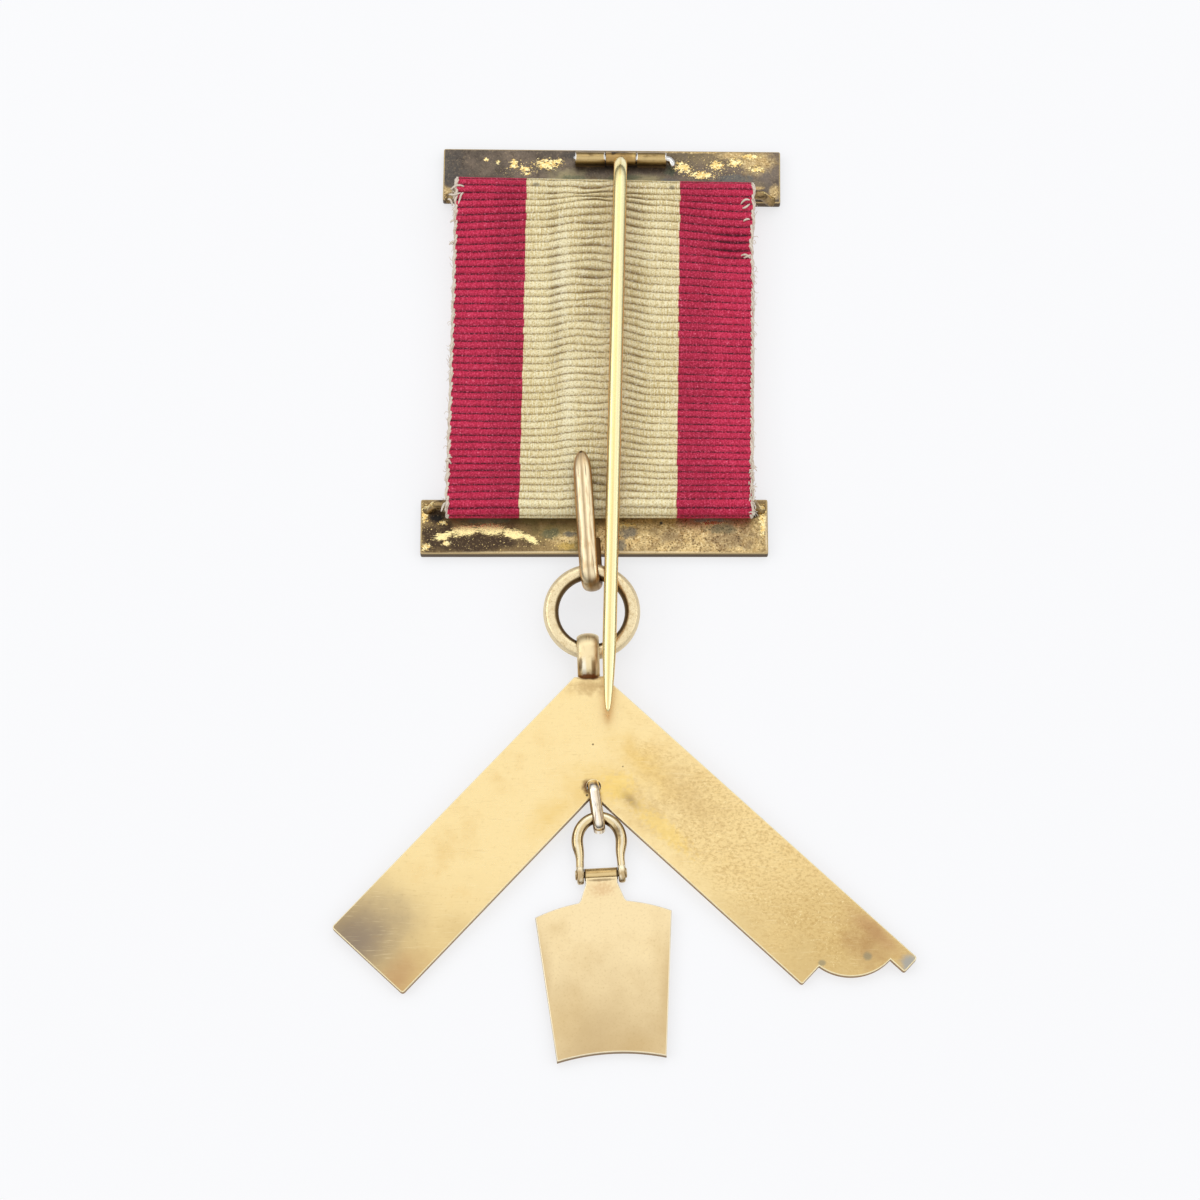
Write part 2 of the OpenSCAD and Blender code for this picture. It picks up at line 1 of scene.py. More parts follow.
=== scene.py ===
"""A breast jewel that lies face down on a pale table: two bars and a looped ribbon, a brooch pin,
a ring on a hook, a builder's square, and a keystone on a shackle.

Lengths are millimetres in the jewel's own frame, unless a name says otherwise: x across, y along
the ribbon, z up from the table, and the origin under the middle of the bottom bar. Colours are
given as a screen shows them, 0 to 255.
"""
import json

import bmesh
import bpy
import numpy as np
from mathutils import Matrix, Vector


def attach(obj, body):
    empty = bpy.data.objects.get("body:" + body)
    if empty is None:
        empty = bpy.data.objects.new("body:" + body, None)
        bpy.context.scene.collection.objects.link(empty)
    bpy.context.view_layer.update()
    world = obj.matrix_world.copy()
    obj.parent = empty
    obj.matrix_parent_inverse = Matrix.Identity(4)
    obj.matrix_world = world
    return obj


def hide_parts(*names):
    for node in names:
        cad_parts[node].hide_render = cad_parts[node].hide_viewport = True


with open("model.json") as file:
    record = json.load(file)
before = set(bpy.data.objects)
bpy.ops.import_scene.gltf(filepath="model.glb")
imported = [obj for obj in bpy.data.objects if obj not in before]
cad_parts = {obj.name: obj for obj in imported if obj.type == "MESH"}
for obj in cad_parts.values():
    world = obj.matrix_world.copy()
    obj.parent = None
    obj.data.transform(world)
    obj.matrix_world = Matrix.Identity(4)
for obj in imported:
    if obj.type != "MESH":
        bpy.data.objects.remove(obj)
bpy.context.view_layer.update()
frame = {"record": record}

MM = 0.001
TOP_BAR = np.array([2.17, 46.6, 0.0])
TOP_LEAN = -0.6
BAR_T, SQUARE_T, KEY_T = 1.3, 1.2, 1.2
# The middle of the top bar's face is a mount of the record, and it ties the two frames together.
ANCHOR = np.array(frame["record"]["mounts"][0]["pos_m"]) / MM - TOP_BAR
chance = np.random.default_rng(1903)


# ---------------------------------------------------------------- shapes

def turned(points, x=0.0, y=0.0, z=0.0):
    """Points turned about the X axis, then the Y axis, then the Z axis, in degrees."""
    for a, b, angle in ((1, 2, x), (2, 0, y), (0, 1, z)):
        c, s = np.cos(np.radians(angle)), np.sin(np.radians(angle))
        new = np.array(points, float)
        new[..., a] = points[..., a] * c - points[..., b] * s
        new[..., b] = points[..., a] * s + points[..., b] * c
        points = new
    return points


def unit(vectors):
    """Vectors brought to length 1."""
    return vectors / np.linalg.norm(vectors, axis=-1, keepdims=True)


def smooth(x, start, end):
    """A smooth step, 0 before start and 1 after end: three times the square of the share between
    them, less twice its cube."""
    t = np.clip((x - start) / (end - start), 0, 1)
    return t * t * (3 - 2 * t)


def hill(x, middle, half):
    """A bell curve, 1 at its middle: e to the power of minus the squared share of its half width."""
    return np.exp(-((x - middle) / half) ** 2)


def arc(radius, first, last, count):
    """Points of a circle from one angle to another, in degrees."""
    a = np.radians(np.linspace(first, last, count))
    return radius * np.stack([np.cos(a), np.sin(a)], 1)


def circle(radius, count):
    """Points of a whole circle."""
    return arc(radius, 0, 360, count + 1)[:-1]


def lengths_along(path):
    """Distance along a line of points, from its first point to each."""
    return np.r_[0.0, np.cumsum(np.linalg.norm(np.diff(path, axis=0), axis=1))]


def from_ends(path):
    """Distance along a line of points, from the nearer of its ends to each."""
    return np.minimum(lengths_along(path), lengths_along(path[::-1])[::-1])


def resampled(path, count):
    """The line through the points, drawn again with count points at even distances."""
    path = np.asarray(path, float)
    at = lengths_along(path)
    return np.stack([np.interp(np.linspace(0, at[-1], count), at, c) for c in path.T], 1)


def softened(path, passes):
    """The line with its inner points moved, pass by pass, to the mean of their neighbours."""
    path = np.array(path, float)
    for _ in range(passes):
        path[1:-1] = (path[:-2] + 2 * path[1:-1] + path[2:]) / 4
    return path


def oval(w, t, power=2.0, count=32):
    """A closed section w across and t high: sine and cosine of the angle from its top, each
    raised to 2 / power, so that 2 is an ellipse and more is squarer."""
    points = circle(1, count)[:, ::-1]
    return np.sign(points) * np.abs(points) ** (2 / power) * [w / 2, t / 2]


def filleted(corners, radius, steps=5):
    """A polygon with every corner rounded: between the points where a circle of the radius
    touches both sides, the circle's arc takes the corner's place."""
    corners = np.asarray(corners, float)
    radius = np.broadcast_to(radius, len(corners))[:, None]
    back = unit(np.roll(corners, 1, 0) - corners)
    on = unit(np.roll(corners, -1, 0) - corners)
    half = np.arccos(np.clip((back * on).sum(1, keepdims=True), -1, 1)) / 2
    middle = corners + unit(back + on) * radius / np.sin(half)
    start = corners + back * radius / np.tan(half) - middle
    end = corners + on * radius / np.tan(half) - middle
    a = np.arctan2(start[:, 1], start[:, 0])
    sweep = (np.arctan2(end[:, 1], end[:, 0]) - a + np.pi) % (2 * np.pi) - np.pi
    angle = a[:, None] + sweep[:, None] * np.linspace(0, 1, steps)
    rounded = np.stack([np.cos(angle), np.sin(angle)], 2) * radius[:, :, None]
    return (middle[:, None] + rounded).reshape(-1, 2)


def block(half_w, half_h, radius):
    """A rectangle's outline, with rounded corners."""
    return filleted(np.array([[1, 1], [-1, 1], [-1, -1], [1, -1]]) * [half_w, half_h], radius)


def inset(outline, distance):
    """A closed outline moved inwards: each point goes along the mitre of its two sides."""
    side = unit(np.roll(outline, -1, 0) - outline)
    out = np.stack([side[:, 1], -side[:, 0]], 1)
    before = np.roll(out, 1, 0)
    mitre = (out + before) / (1 + (out * before).sum(1, keepdims=True))
    turn = outline[:, 0] * np.roll(outline[:, 1], -1) - outline[:, 1] * np.roll(outline[:, 0], -1)
    return outline - mitre * distance * np.sign(turn.sum())


class Piece:
    """A piece in the making: closed shells of points and faces that become one mesh."""

    def __init__(self, name):
        self.name = name
        self.points, self.faces, self.uvs, self.flat, self.lids = [], [], [], [], []
        self.count = 0

    def surface(self, grid, along=False, ends=True, across=None, length=None):
        """A grid of points, rows by columns, as quads. The last column joins the first, along
        joins the last row to the first, and ends closes the two end rows with a face.
        The UV map holds the share of the way round, or across, and the distance along."""
        rows, cols = grid.shape[:2]
        if across is None:
            across = np.arange(cols + 1) / cols
        if length is None:
            length = lengths_along(grid.mean(1))
            length = np.r_[length, length[-1] + length[1]]
        i, j = np.meshgrid(np.arange(rows if along else rows - 1), np.arange(cols), indexing="ij")
        corners = [(i, j), (i, j + 1), (i + 1, j + 1), (i + 1, j)]
        quads = np.stack([(a % rows) * cols + b % cols for a, b in corners], 2).reshape(-1, 4)
        uv = np.stack([np.stack([across[b], length[a]], 2) for a, b in corners], 2)
        self.points.append(grid.reshape(-1, 3))
        self.faces += (quads + self.count).tolist()
        self.uvs.append(uv.reshape(-1, 2))
        self.flat += [False] * len(quads)
        first = self.count
        self.count += rows * cols
        if ends and not along:
            for end in (first, self.count - cols):
                self.faces.append(list(range(end, end + cols)))
                self.uvs.append(np.full((cols, 2), [0.0, length[-2]]))
                self.flat.append(True)
        return first

    def tube(self, path, up, section, along=False):
        """A section carried along a path: each of its points goes its own distance across the
        path and its own distance up from it."""
        path, up = np.broadcast_arrays(path, np.array(up, float))
        ahead = (np.roll(path, -1, 0) - np.roll(path, 1, 0)) if along else np.gradient(path, axis=0)
        across = unit(np.cross(ahead, up))
        up = unit(np.cross(across, ahead))
        self.surface(path[:, None] + section[..., :1] * across[:, None]
                     + section[..., 1:] * up[:, None], along)

    def revolved(self, profile, place, count=48, closed=False):
        """A profile of (distance along X, radius) turned round the X axis."""
        along, radius = np.array(profile, float).T[:, :, None]
        up, out = circle(1, count).T
        self.surface(place(np.stack([along + 0 * up, radius * out, radius * up], 2)), closed)

    def plate(self, outlines, low, high, place, edge=0.12):
        """A flat plate between two heights. Each outline, the holes' too, is a band of rings,
        and a ring's inset and height run round a quarter circle at either edge."""
        turn = arc(1, 0, 90, 4)[:, ::-1]
        profile = edge * np.r_[[1, low / edge + 1] - turn,
                               ([1, high / edge - 1] + turn * [-1, 1])[::-1]]
        rims = ([], [])
        for k, outline in enumerate(outlines):
            count = len(outline)
            rings = np.stack([np.c_[inset(outline, -d if k else d), np.full(count, z)]
                              for d, z in profile])
            first = self.surface(place(rings), ends=False, across=np.zeros(count + 1))
            rims[0].extend(range(first, first + count))
            rims[1].extend(range(self.count - count, self.count))
        self.lids += rims

    def finished(self, material, body, slot, *nodes):
        """The object: its place is in its mesh, in metres, and all its faces point outwards."""
        points = (np.concatenate(self.points) + ANCHOR) * MM
        mesh = bpy.data.meshes.new(self.name)
        mesh.from_pydata(points, [], self.faces)
        mesh.uv_layers.new(name="wrap").data.foreach_set("uv", np.concatenate(self.uvs).ravel())
        mesh.polygons.foreach_set("use_smooth", ~np.array(self.flat))
        shell = bmesh.new()
        shell.from_mesh(mesh)
        shell.verts.ensure_lookup_table()
        for rim in self.lids:
            edges = {e for i in rim for e in shell.verts[i].link_edges if e.is_boundary}
            bmesh.ops.triangle_fill(shell, edges=sorted(edges, key=lambda e: e.index), use_beauty=True)
        bmesh.ops.recalc_face_normals(shell, faces=shell.faces[:])
        shell.to_mesh(mesh)
        shell.free()
        mesh.materials.append(material)
        piece = bpy.data.objects.new(self.name, mesh)
        bpy.context.scene.collection.objects.link(piece)
        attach(piece, body)
        if nodes:
            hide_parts(*nodes)
        return piece


# ---------------------------------------------------------------- finishes

def tone(colour):
    """A screen's colour brought to the linear light that shaders use. A socket stays as it is."""
    if isinstance(colour, bpy.types.NodeSocket):
        return colour
    c = np.array(colour) / 255
    return (*np.where(c <= 0.04045, c / 12.92, ((c + 0.055) / 1.055) ** 2.4), 1.0)


class Finish:
    """A node material. A call that works out a value gives back the socket that holds it. A call
    that lays something on the finish gives back the finish. Patches are rows of (x, y, half
    width, half height, turn), and the turn may be left out."""

    def __init__(self, name, colour, rough, metal):
        self.material = bpy.data.materials.new(name)
        self.material.use_nodes = True
        self.tree = self.material.node_tree
        self.tree.nodes.clear()
        coords = self.tree.nodes.new("ShaderNodeTexCoord").outputs
        # Millimetres in the jewel's own frame
        self.place = self.mapped(coords["Object"], -ANCHOR, (1 / MM,) * 3)
        # The way round or across a piece, and the way along it
        self.u, self.v = (self.node("SeparateXYZ", axis, {0: coords["UV"]}) for axis in "XY")
        self.colour, self.rough, self.metal, self.heights = colour, rough, metal, []

    def node(self, kind, out, inputs, **settings):
        """One node: settings go on the node, inputs are numbers, colours or sockets."""
        made = self.tree.nodes.new("ShaderNode" + kind)
        for key, value in settings.items():
            setattr(made, key, value)
        for key, value in inputs.items():
            if isinstance(value, bpy.types.NodeSocket):
                self.tree.links.new(value, made.inputs[key])
            else:
                made.inputs[key].default_value = value
        return made.outputs[out]

    def mapped(self, vector, shift=(0, 0, 0), scale=(1, 1, 1), turn=0.0, kind="POINT"):
        inputs = {"Vector": vector, "Location": tuple(shift), "Scale": tuple(scale),
                  "Rotation": (0, 0, np.radians(turn))}
        return self.node("Mapping", 0, inputs, vector_type=kind)

    def math(self, operation, a, b=0.0, c=0.0):
        return self.node("Math", 0, {0: a, 1: b, 2: c}, operation=operation)

    def times(self, a, b):
        return self.math("MULTIPLY", a, b)

    def clamped(self, value):
        return self.node("Clamp", 0, {"Value": value})

    def noise(self, size, detail=4.0, rough=0.55, stretch=None, turn=0.0):
        """Cloudy noise whose lumps are about size across, drawn out by stretch after a turn."""
        vector = self.mapped(self.place, scale=stretch, turn=turn) if stretch else self.place
        inputs = {"Vector": vector, "Scale": 1 / size, "Detail": detail, "Roughness": rough}
        return self.node("TexNoise", "Fac", inputs)

    def noise_at(self, x, y, detail=3.0):
        """Noise at a place given by two numbers, with lumps about 1 across."""
        place = self.node("CombineXYZ", 0, {0: x, 1: y})
        return self.node("TexNoise", "Fac", {"Vector": place, "Scale": 1.0, "Detail": detail})

    def swayed(self, value, noise, by):
        """The value moved up or down by noise, by that much at most."""
        return self.math("ADD", value, self.math("MULTIPLY_ADD", noise, 2 * by, -by))

    def step(self, value, low, high, most=1.0, least=0.0):
        """A smooth step of the value: least where it is at low, most where it is at high."""
        return self.node("MapRange", 0, {"Value": value, 1: low, 2: high, 3: least, 4: most},
                         interpolation_type="SMOOTHSTEP")

    def window(self, value, start, full, fade, end):
        """1 where the value is between full and fade, and 0 outside start and end."""
        return self.times(self.step(value, start, full), self.step(value, end, fade))

    def mixed(self, share, a, b):
        """Two colours mixed by a share."""
        return self.node("Mix", 2, {0: share, 6: tone(a), 7: tone(b)}, data_type="RGBA")

    def between(self, share, a, b):
        """Two numbers mixed by a share."""
        return self.node("Mix", 0, {0: share, 2: a, 3: b}, data_type="FLOAT")

    def near(self, patches, rag, size=0.6):
        """How near a point is to patches: 1 at a patch's middle, 0 at its rim and less outside.
        Noise with lumps of a size moves the rim by the share rag."""
        found = None
        for x, y, wide, high, *turn in patches:
            spot = self.mapped(self.place, (x, y, 0), (wide, high, 1e4), *turn, kind="TEXTURE")
            apart = self.node("VectorMath", "Value", {0: spot}, operation="LENGTH")
            here = self.math("SUBTRACT", 1.0, apart)
            found = self.math("MAXIMUM", found, here) if found else here
        return self.swayed(found, self.noise(size), rag) if rag else found

    def lay(self, share, colour, rough=None, metal=None):
        """Another finish over this one where share is 1."""
        self.colour = self.mixed(share, self.colour, colour)
        if rough is not None:
            self.rough = self.between(share, self.rough, rough)
        if metal is not None:
            self.metal = self.between(share, self.metal, metal)
        return self

    def over(self, value, low, high, most, colour, rough=None, metal=None, within=None):
        """Another finish over this one by a smooth step of the value, up to the share most, and
        within a mask if there is one."""
        share = self.step(value, low, high, most)
        return self.lay(self.times(share, within) if within else share, colour, rough, metal)

    def relief(self, height, depth):
        """Bump from a height between 0 and 1, in millimetres of depth."""
        self.heights.append((height, depth))
        return self

    def soft_patch(self, patches, colour, rough, metal, strength, rag, size=0.8, soft=0.6):
        """A soft patch of one colour. Most are stains; the ones whose comments say so are painted shade and
        painted highlights.
        """
        return self.over(self.near(patches, rag, size), 0.0, soft, strength, colour, rough, metal)

    def tarnished_and_shaded_sides(self, colour, start, full, rough=0.5, most=1.0):
        """Darker sides of a wire, partly tarnish and partly painted shade: the share of the way round from
        its top sets it.
        """
        side = self.swayed(self.math("PINGPONG", self.u, 0.5), self.noise(0.8), 0.03)
        return self.over(side, start, full, most, colour, rough)

    def streaked(self, colour, low, high, most, fine=16.0, drawn=0.22, rough=0.35):
        """Streaks that run along a wire: noise that is fine round it and drawn out along it."""
        lines = self.noise_at(self.times(self.math("PINGPONG", self.u, 0.5), fine),
                              self.times(self.v, drawn))
        return self.over(lines, low, high, most, colour, rough)

    def painted_reflection_bands(self, bands, patches=None):
        """Painted reflections: light and dark bands that run along a wire, as a polished one's
        reflections show them. Each has a place on the way round from the wire's top, left below 0
        and right above it, a half width, a colour and a strength. With patches, they are seen there only."""
        here = self.step(self.near(patches, 0.1, 1.0), 0.0, 0.6) if patches else None
        around = self.math("SUBTRACT", self.math("FRACT", self.math("ADD", self.u, 0.5)), 0.5)
        around = self.swayed(around, self.noise(2.5, 2.0), 0.015)
        for middle, half, colour, most in bands:
            apart = self.math("ABSOLUTE", self.math("SUBTRACT", around, middle))
            self.over(apart, half, 0.3 * half, most, colour, within=here)
        return self

    def shaded_sides_and_lit_rim(self, thick, side, rim_highlight):
        """Painted shade on a plate's side faces and a painted highlight on its rounded upper rim: the
        UV map's height tells them from the flat faces, where it is 0."""
        self.over(self.v, 0.08, 0.2, 1.0, side, 0.5)
        return self.over(self.v, thick - 0.2, thick - 0.08, 1.0, rim_highlight, 0.3)

    def gold_ground(self, patches, most, pits):
        """Granular gold with dark pits and light grains, as thick as most says."""
        here = self.step(self.near(patches, 0.6, 1.3), -0.1, 0.6, most)
        grains = self.noise(0.2, 4.0, 0.65)
        self.lay(here, (222, 192, 134), 0.34, 1.0)
        self.over(self.noise(1.1), 0.42, 0.7, 1.0, (186, 152, 98), within=here)
        self.over(grains, 0.54, 0.64, pits, (104, 82, 52), 0.6, within=here)
        return self.over(grains, 0.46, 0.36, 1.0, (252, 232, 178), 0.25, within=here)

    def gold_flecks(self, patches):
        """Bright gold in small torn flecks, thick where a patch's middle is."""
        near = self.clamped(self.near(patches, 0.3, 0.7))
        torn = self.noise(0.24, 4.0, 0.72, (0.8, 1.2, 1), 30)
        shown = self.step(self.math("MULTIPLY_ADD", near, 0.34, torn), 0.63, 0.67)
        mask = self.times(shown, self.step(near, 0.0, 0.15))
        worn = self.mixed(self.step(self.noise(0.35), 0.4, 0.6), (255, 236, 176), (232, 196, 122))
        return self.lay(mask, worn, 0.24, 1.0).relief(mask, 0.015)

    def gold_hatching(self, patches):
        """Bright gold rubbed free in short slanting strokes."""
        near = self.clamped(self.near(patches, 0.35, 0.5))
        strokes = self.noise(0.17, 4.0, 0.7, (0.4, 2.0, 1), -38)
        shown = self.step(self.math("MULTIPLY_ADD", near, 0.5, strokes), 0.64, 0.68)
        mask = self.times(shown, self.step(near, 0.0, 0.1))
        return self.lay(mask, (255, 234, 168), 0.22, 1.0).relief(mask, 0.015)

    def gold_dust(self, patches):
        """Single bright grains of gold, strewn over a patch."""
        near = self.step(self.near(patches, 0.4, 1.0), -0.1, 0.5)
        return self.over(self.noise(0.22, 2.0, 0.6), 0.65, 0.68, 1.0, (250, 222, 150), 0.25, 1.0, near)

    def close(self, **fixed):
        """The shader, with the bumps laid one on another."""
        bumps = {}
        for height, depth in self.heights:
            inputs = {"Height": height, "Distance": depth * MM, "Strength": 1.0}
            bumps = {"Normal": self.node("Bump", 0, {**inputs, **bumps})}
        inputs = {"Base Color": tone(self.colour), "Roughness": self.rough, "Metallic": self.metal}
        shader = self.node("BsdfPrincipled", 0, {**inputs, **fixed, **bumps})
        out = self.tree.nodes.new("ShaderNodeOutputMaterial")
        self.tree.links.new(shader, out.inputs["Surface"])
        return self.material


def gilt(name, light, dull, rough, blotch, dulled, grain=0.25, bumps=0.004):
    """Gilding whose light and dull tones change in soft blotches, under fine grain. blotch and
    grain are sizes, and dulled is the dull tone's share."""
    made = Finish(name, light, rough, 1.0)
    made.over(made.noise(blotch, 5.0, 0.6), 0.62 - 0.3 * dulled, 0.82 - 0.1 * dulled, 1.0, dull)
    speckle = made.noise(grain, 3.0, 0.7)
    made.rough = made.math("MULTIPLY_ADD", speckle, 0.2, rough - 0.1)
    return made.relief(speckle, bumps) if bumps else made


def tarnished(name, light, dull, dark):
    """The bars' tarnish over gilding, in soft clouds of three tones."""
    made = Finish(name, light, 0.42, 0.8)
    made.over(made.noise(4.0, 6.0, 0.6), 0.36, 0.64, 1.0, dull)
    return made.over(made.noise(1.3, 6.0, 0.7), 0.45, 0.75, 0.8, dark)


def grained(made):
    """The bars' fine grain, which lies over all their marks, then painted shade on their sides and
    a painted highlight on their upper rims.
    """
    grain = made.noise(0.2, 4.0, 0.7)
    made.over(grain, 0.52, 0.72, 0.55, (48, 38, 30), 0.55)
    made.over(grain, 0.44, 0.3, 0.4, (196, 172, 132), 0.35)
    return made.relief(grain, 0.02).shaded_sides_and_lit_rim(BAR_T, (86, 68, 46), (196, 172, 126)).close()


# Patches of both bars: colour, roughness, metal, strength, ragged share, lumps' size and softness.
# Verdigris and blue-grey are stains; the near-black one is painted shade in small hollows, mostly
# where the rods meet the plates.
VERDIGRIS = (92, 108, 86), 0.6, 0.35, 0.5, 0.7, 0.8
BLUE_GREY = (108, 112, 112), 0.55, 0.6, 0.65, 0.7, 0.5
PAINTED_HOLLOW_SHADE = (24, 20, 16), 0.7, 0.3, 0.95, 0.25, 0.4

top_bar_finish = grained(
    tarnished("tarnished_gilt_top_bar", (124, 110, 96), (98, 88, 78), (70, 58, 50))
    .soft_patch([(-20.5, 47.5, 6.5, 5), (-1.0, 49.4, 4, 1)], (74, 74, 74), 0.45, 0.7, 0.8, 0.4, 2.0, 1.0)
    .soft_patch([(-9, 45.0, 9, 1.3), (14, 49.0, 8, 2.0), (19, 45.6, 3, 1.6), (2, 45.6, 7, 1.4)],
           (150, 132, 96), 0.45, 0.85, 0.55, 0.7, 1.0, 1.0)
    .soft_patch([(-3.5, 46.5, 3.6, 1.6), (6.5, 46.2, 3.4, 1.0)],
           (166, 156, 118), 0.45, 0.85, 0.75, 0.5, 0.8, 1.0)
    .soft_patch([(21.5, 46.5, 2.4, 3.4)], (122, 112, 104), 0.45, 0.8, 0.6, 0.9, 0.8, 1.0)
    .soft_patch([(17.6, 46.0, 3.4, 1.0), (9.3, 45.7, 1.5, 0.7), (-5, 45.4, 2, 0.6)], *BLUE_GREY)
    .soft_patch([(-2.6, 46.2, 2.0, 0.6), (3.5, 46.3, 3, 0.7), (9.4, 47.3, 0.9, 1.0), (-10, 45.2, 3, 0.5)],
           *VERDIGRIS)
    .gold_ground([(20.3, 48.4, 2.6, 2.0), (13.5, 50.0, 7.0, 0.4), (17.3, 49.4, 2.4, 0.8),
                  (20.4, 44.9, 0.9, 0.3), (-18.9, 44.4, 1.6, 0.9), (22.4, 44.2, 0.8, 1.2)], 0.62, 0.9)
    .gold_flecks([(-5.9, 48.2, 2.4, 1.2), (-4.6, 48.6, 1.0, 0.7), (-8.6, 47.6, 1.2, 0.6),
                  (-10.0, 48.2, 0.8, 0.9), (-12.0, 48.5, 0.5, 0.5), (-13.5, 48.8, 0.5, 0.4),
                  (-8.4, 46.9, 0.9, 0.3), (11.0, 47.7, 1.6, 1.2), (13.4, 46.7, 2.6, 0.8),
                  (15.2, 48.0, 1.5, 1.0), (17.6, 48.4, 1.6, 0.9), (20.2, 47.4, 1.4, 0.7),
                  (19.6, 49.2, 1.8, 0.6)])
    .gold_dust([(14.5, 47.8, 7.0, 2.2), (-9, 47.8, 5, 1.4)])
    # Painted shade in small hollows at the rod's ends and beside the hinge
    .soft_patch([(20.1, 43.9, 1.1, 0.35), (-1.9, 48.6, 0.45, 0.9), (-19.4, 43.4, 0.9, 0.3)], *PAINTED_HOLLOW_SHADE))
bottom_bar_finish = grained(
    tarnished("tarnished_gilt_bottom_bar", (164, 138, 92), (128, 106, 72), (92, 74, 52))
    .gold_ground([(13, -1.2, 12, 4.2), (2.4, -1.6, 6, 2.4), (-2.5, -1.7, 3.2, 1.5)], 0.95, 1.0)
    .soft_patch([(9, -1.5, 3.5, 2), (16.5, -1.6, 6, 2.6)], (118, 98, 76), 0.5, 0.8, 0.6, 1.0, 0.9, 1.0)
    .soft_patch([(-9, 1.0, 11, 1.0), (-4.6, -0.6, 4.4, 1.6), (-2, -2.5, 3, 1.2)],
           (136, 124, 76), 0.45, 0.8, 0.6, 0.7, 1.0, 0.9)
    .soft_patch([(-14.5, -2.1, 7.5, 1.7), (-18, -0.6, 1.2, 1.8), (-19.2, 1.3, 1.6, 1.4), (-19.6, -1.4, 1.8, 2.4)],
           (66, 50, 38), 0.5, 0.7, 0.9, 0.5, 1.2)
    .soft_patch([(-5.2, -0.9, 1.6, 0.8), (-13, 0.8, 4.0, 0.5), (15.4, -0.3, 2.6, 0.8)], *VERDIGRIS)
    .soft_patch([(4.1, -0.8, 1.5, 1.0), (3.2, -2.4, 0.8, 1.1), (14.2, 0.8, 3.0, 0.45), (-3, -1, 1.0, 0.5)],
           *BLUE_GREY)
    .soft_patch([(-3.4, -2.5, 1.5, 0.7), (-0.2, -2.2, 1.2, 0.8)], (206, 172, 92), 0.35, 1.0, 0.7, 0.7, 0.6)
    .gold_hatching([(-18.2, -1.2, 1.7, 0.7, 16), (-15.6, -0.5, 2.6, 1.05, 8), (-12.4, -0.4, 2.9, 1.05, -4),
                    (-9.8, -0.9, 2.3, 0.9, -16), (-7.7, -1.6, 1.6, 0.6, -30)])
    .gold_flecks([(-20.5, 1.8, 0.7, 2.4), (-20.2, -2.6, 0.9, 0.8), (-18.2, 0.5, 1.0, 0.4),
                  (20.4, 0.5, 0.8, 3), (14.3, 0.45, 2.2, 0.4), (-17.9, -2.1, 0.9, 0.5), (3.4, 0.2, 3, 0.5)])
    .gold_dust([(-13, -2.3, 8, 1.2), (-5.5, -2.0, 3.5, 1.5), (-19.6, -1, 1.6, 2.4)])
    # Painted highlight along the lower edge and the right end, where the rims catch the light
    .soft_patch([(0, -3.32, 21.5, 0.22), (20.85, -0.5, 0.3, 3.4)], (226, 206, 166), 0.3, 1.0, 0.75, 0.25, 1.5)
    # Painted shade in small hollows, two of them at the rods' ends
    .soft_patch([(-19.0, 1.1, 1.1, 0.6), (19.2, 1.5, 0.9, 0.6), (8.1, 0.45, 0.3, 0.3)], *PAINTED_HOLLOW_SHADE))
rail_finish = gilt("worn_gilt_rails", (168, 142, 98), (84, 68, 50), 0.4, 0.9, 0.8, 0.2).gold_flecks(
    [(-20, 2.4, 1.2, 0.6), (20.3, 2.4, 0.8, 0.6), (21.6, 43.4, 1.2, 0.4), (-19, 43.6, 0.8, 0.4)]).close()

# The square: bright at the corner, duller towards the arms' ends, mottled on the right arm
made = gilt("worn_gilt_square", (247, 222, 164), (238, 208, 146), 0.3, 5.0, 0.4)
made.over(made.near([(-0.5, -24, 46, 34)], 0.2, 5.0), 0.4, -0.1, 0.75, (206, 176, 118), 0.36)
made.over(made.noise(0.5, 4.0, 0.7), 0.55, 0.8, 0.3, (186, 150, 90))
right_arm = made.step(made.near([(20, -42, 24, 8, -43)], 0.5, 3.0), -0.1, 0.6)
mottle = made.noise(0.42, 5.0, 0.75, (1.0, 1.5, 1), 40)
made.lay(made.times(right_arm, 0.3), (214, 180, 112), 0.36)
made.over(mottle, 0.46, 0.62, 0.5, (186, 148, 88), 0.42, within=right_arm)
made.relief(made.times(right_arm, mottle), 0.05)
made.over(made.noise(0.3, 4.0, 0.7), 0.58, 0.7, 0.7, (252, 234, 180), 0.25, within=right_arm)
made.soft_patch([(0.4, -33.0, 7.0, 4.6), (-5, -36.4, 6, 3.0, 45), (6, -30.5, 8, 3.0, -43)],
           (230, 190, 96), 0.3, 1.0, 0.55, 0.4, 1.2, 1.3)
made.soft_patch([(-28.0, -52.0, 11.5, 8.0, 45)], (148, 132, 114), 0.42, 0.9, 0.97, 0.2, 4.0, 1.0)
made.soft_patch([(-29.6, -49.6, 5.0, 4.0, 45)], (128, 110, 90), 0.45, 0.85, 0.25, 0.4, 2.5, 1.2)
made.soft_patch([(6.6, -36.6, 9.0, 3.4, -42), (11, -34.0, 9, 4.0, -42)],
           (190, 154, 98), 0.42, 0.9, 0.4, 1.0, 0.8, 1.2)
made.soft_patch([(4.2, -34.6, 2.4, 0.9, -42)], (150, 124, 84), 0.42, 0.9, 0.6, 0.6, 0.5, 1.0)
made.soft_patch([(2.6, -33.0, 3.0, 2.4), (8, -38, 6, 1.6, -42)], (250, 214, 112), 0.3, 1.0, 0.45, 1.0, 0.5, 0.8)
made.over(made.noise(0.22, 3.0, 0.6, (0.1, 1.6, 1), 38), 0.56, 0.74, 0.3, (250, 232, 186), 0.24)
made.over(made.noise(0.2, 3.0, 0.6, (0.12, 1.6, 1), -52), 0.58, 0.74, 0.25, (190, 156, 98), 0.4)
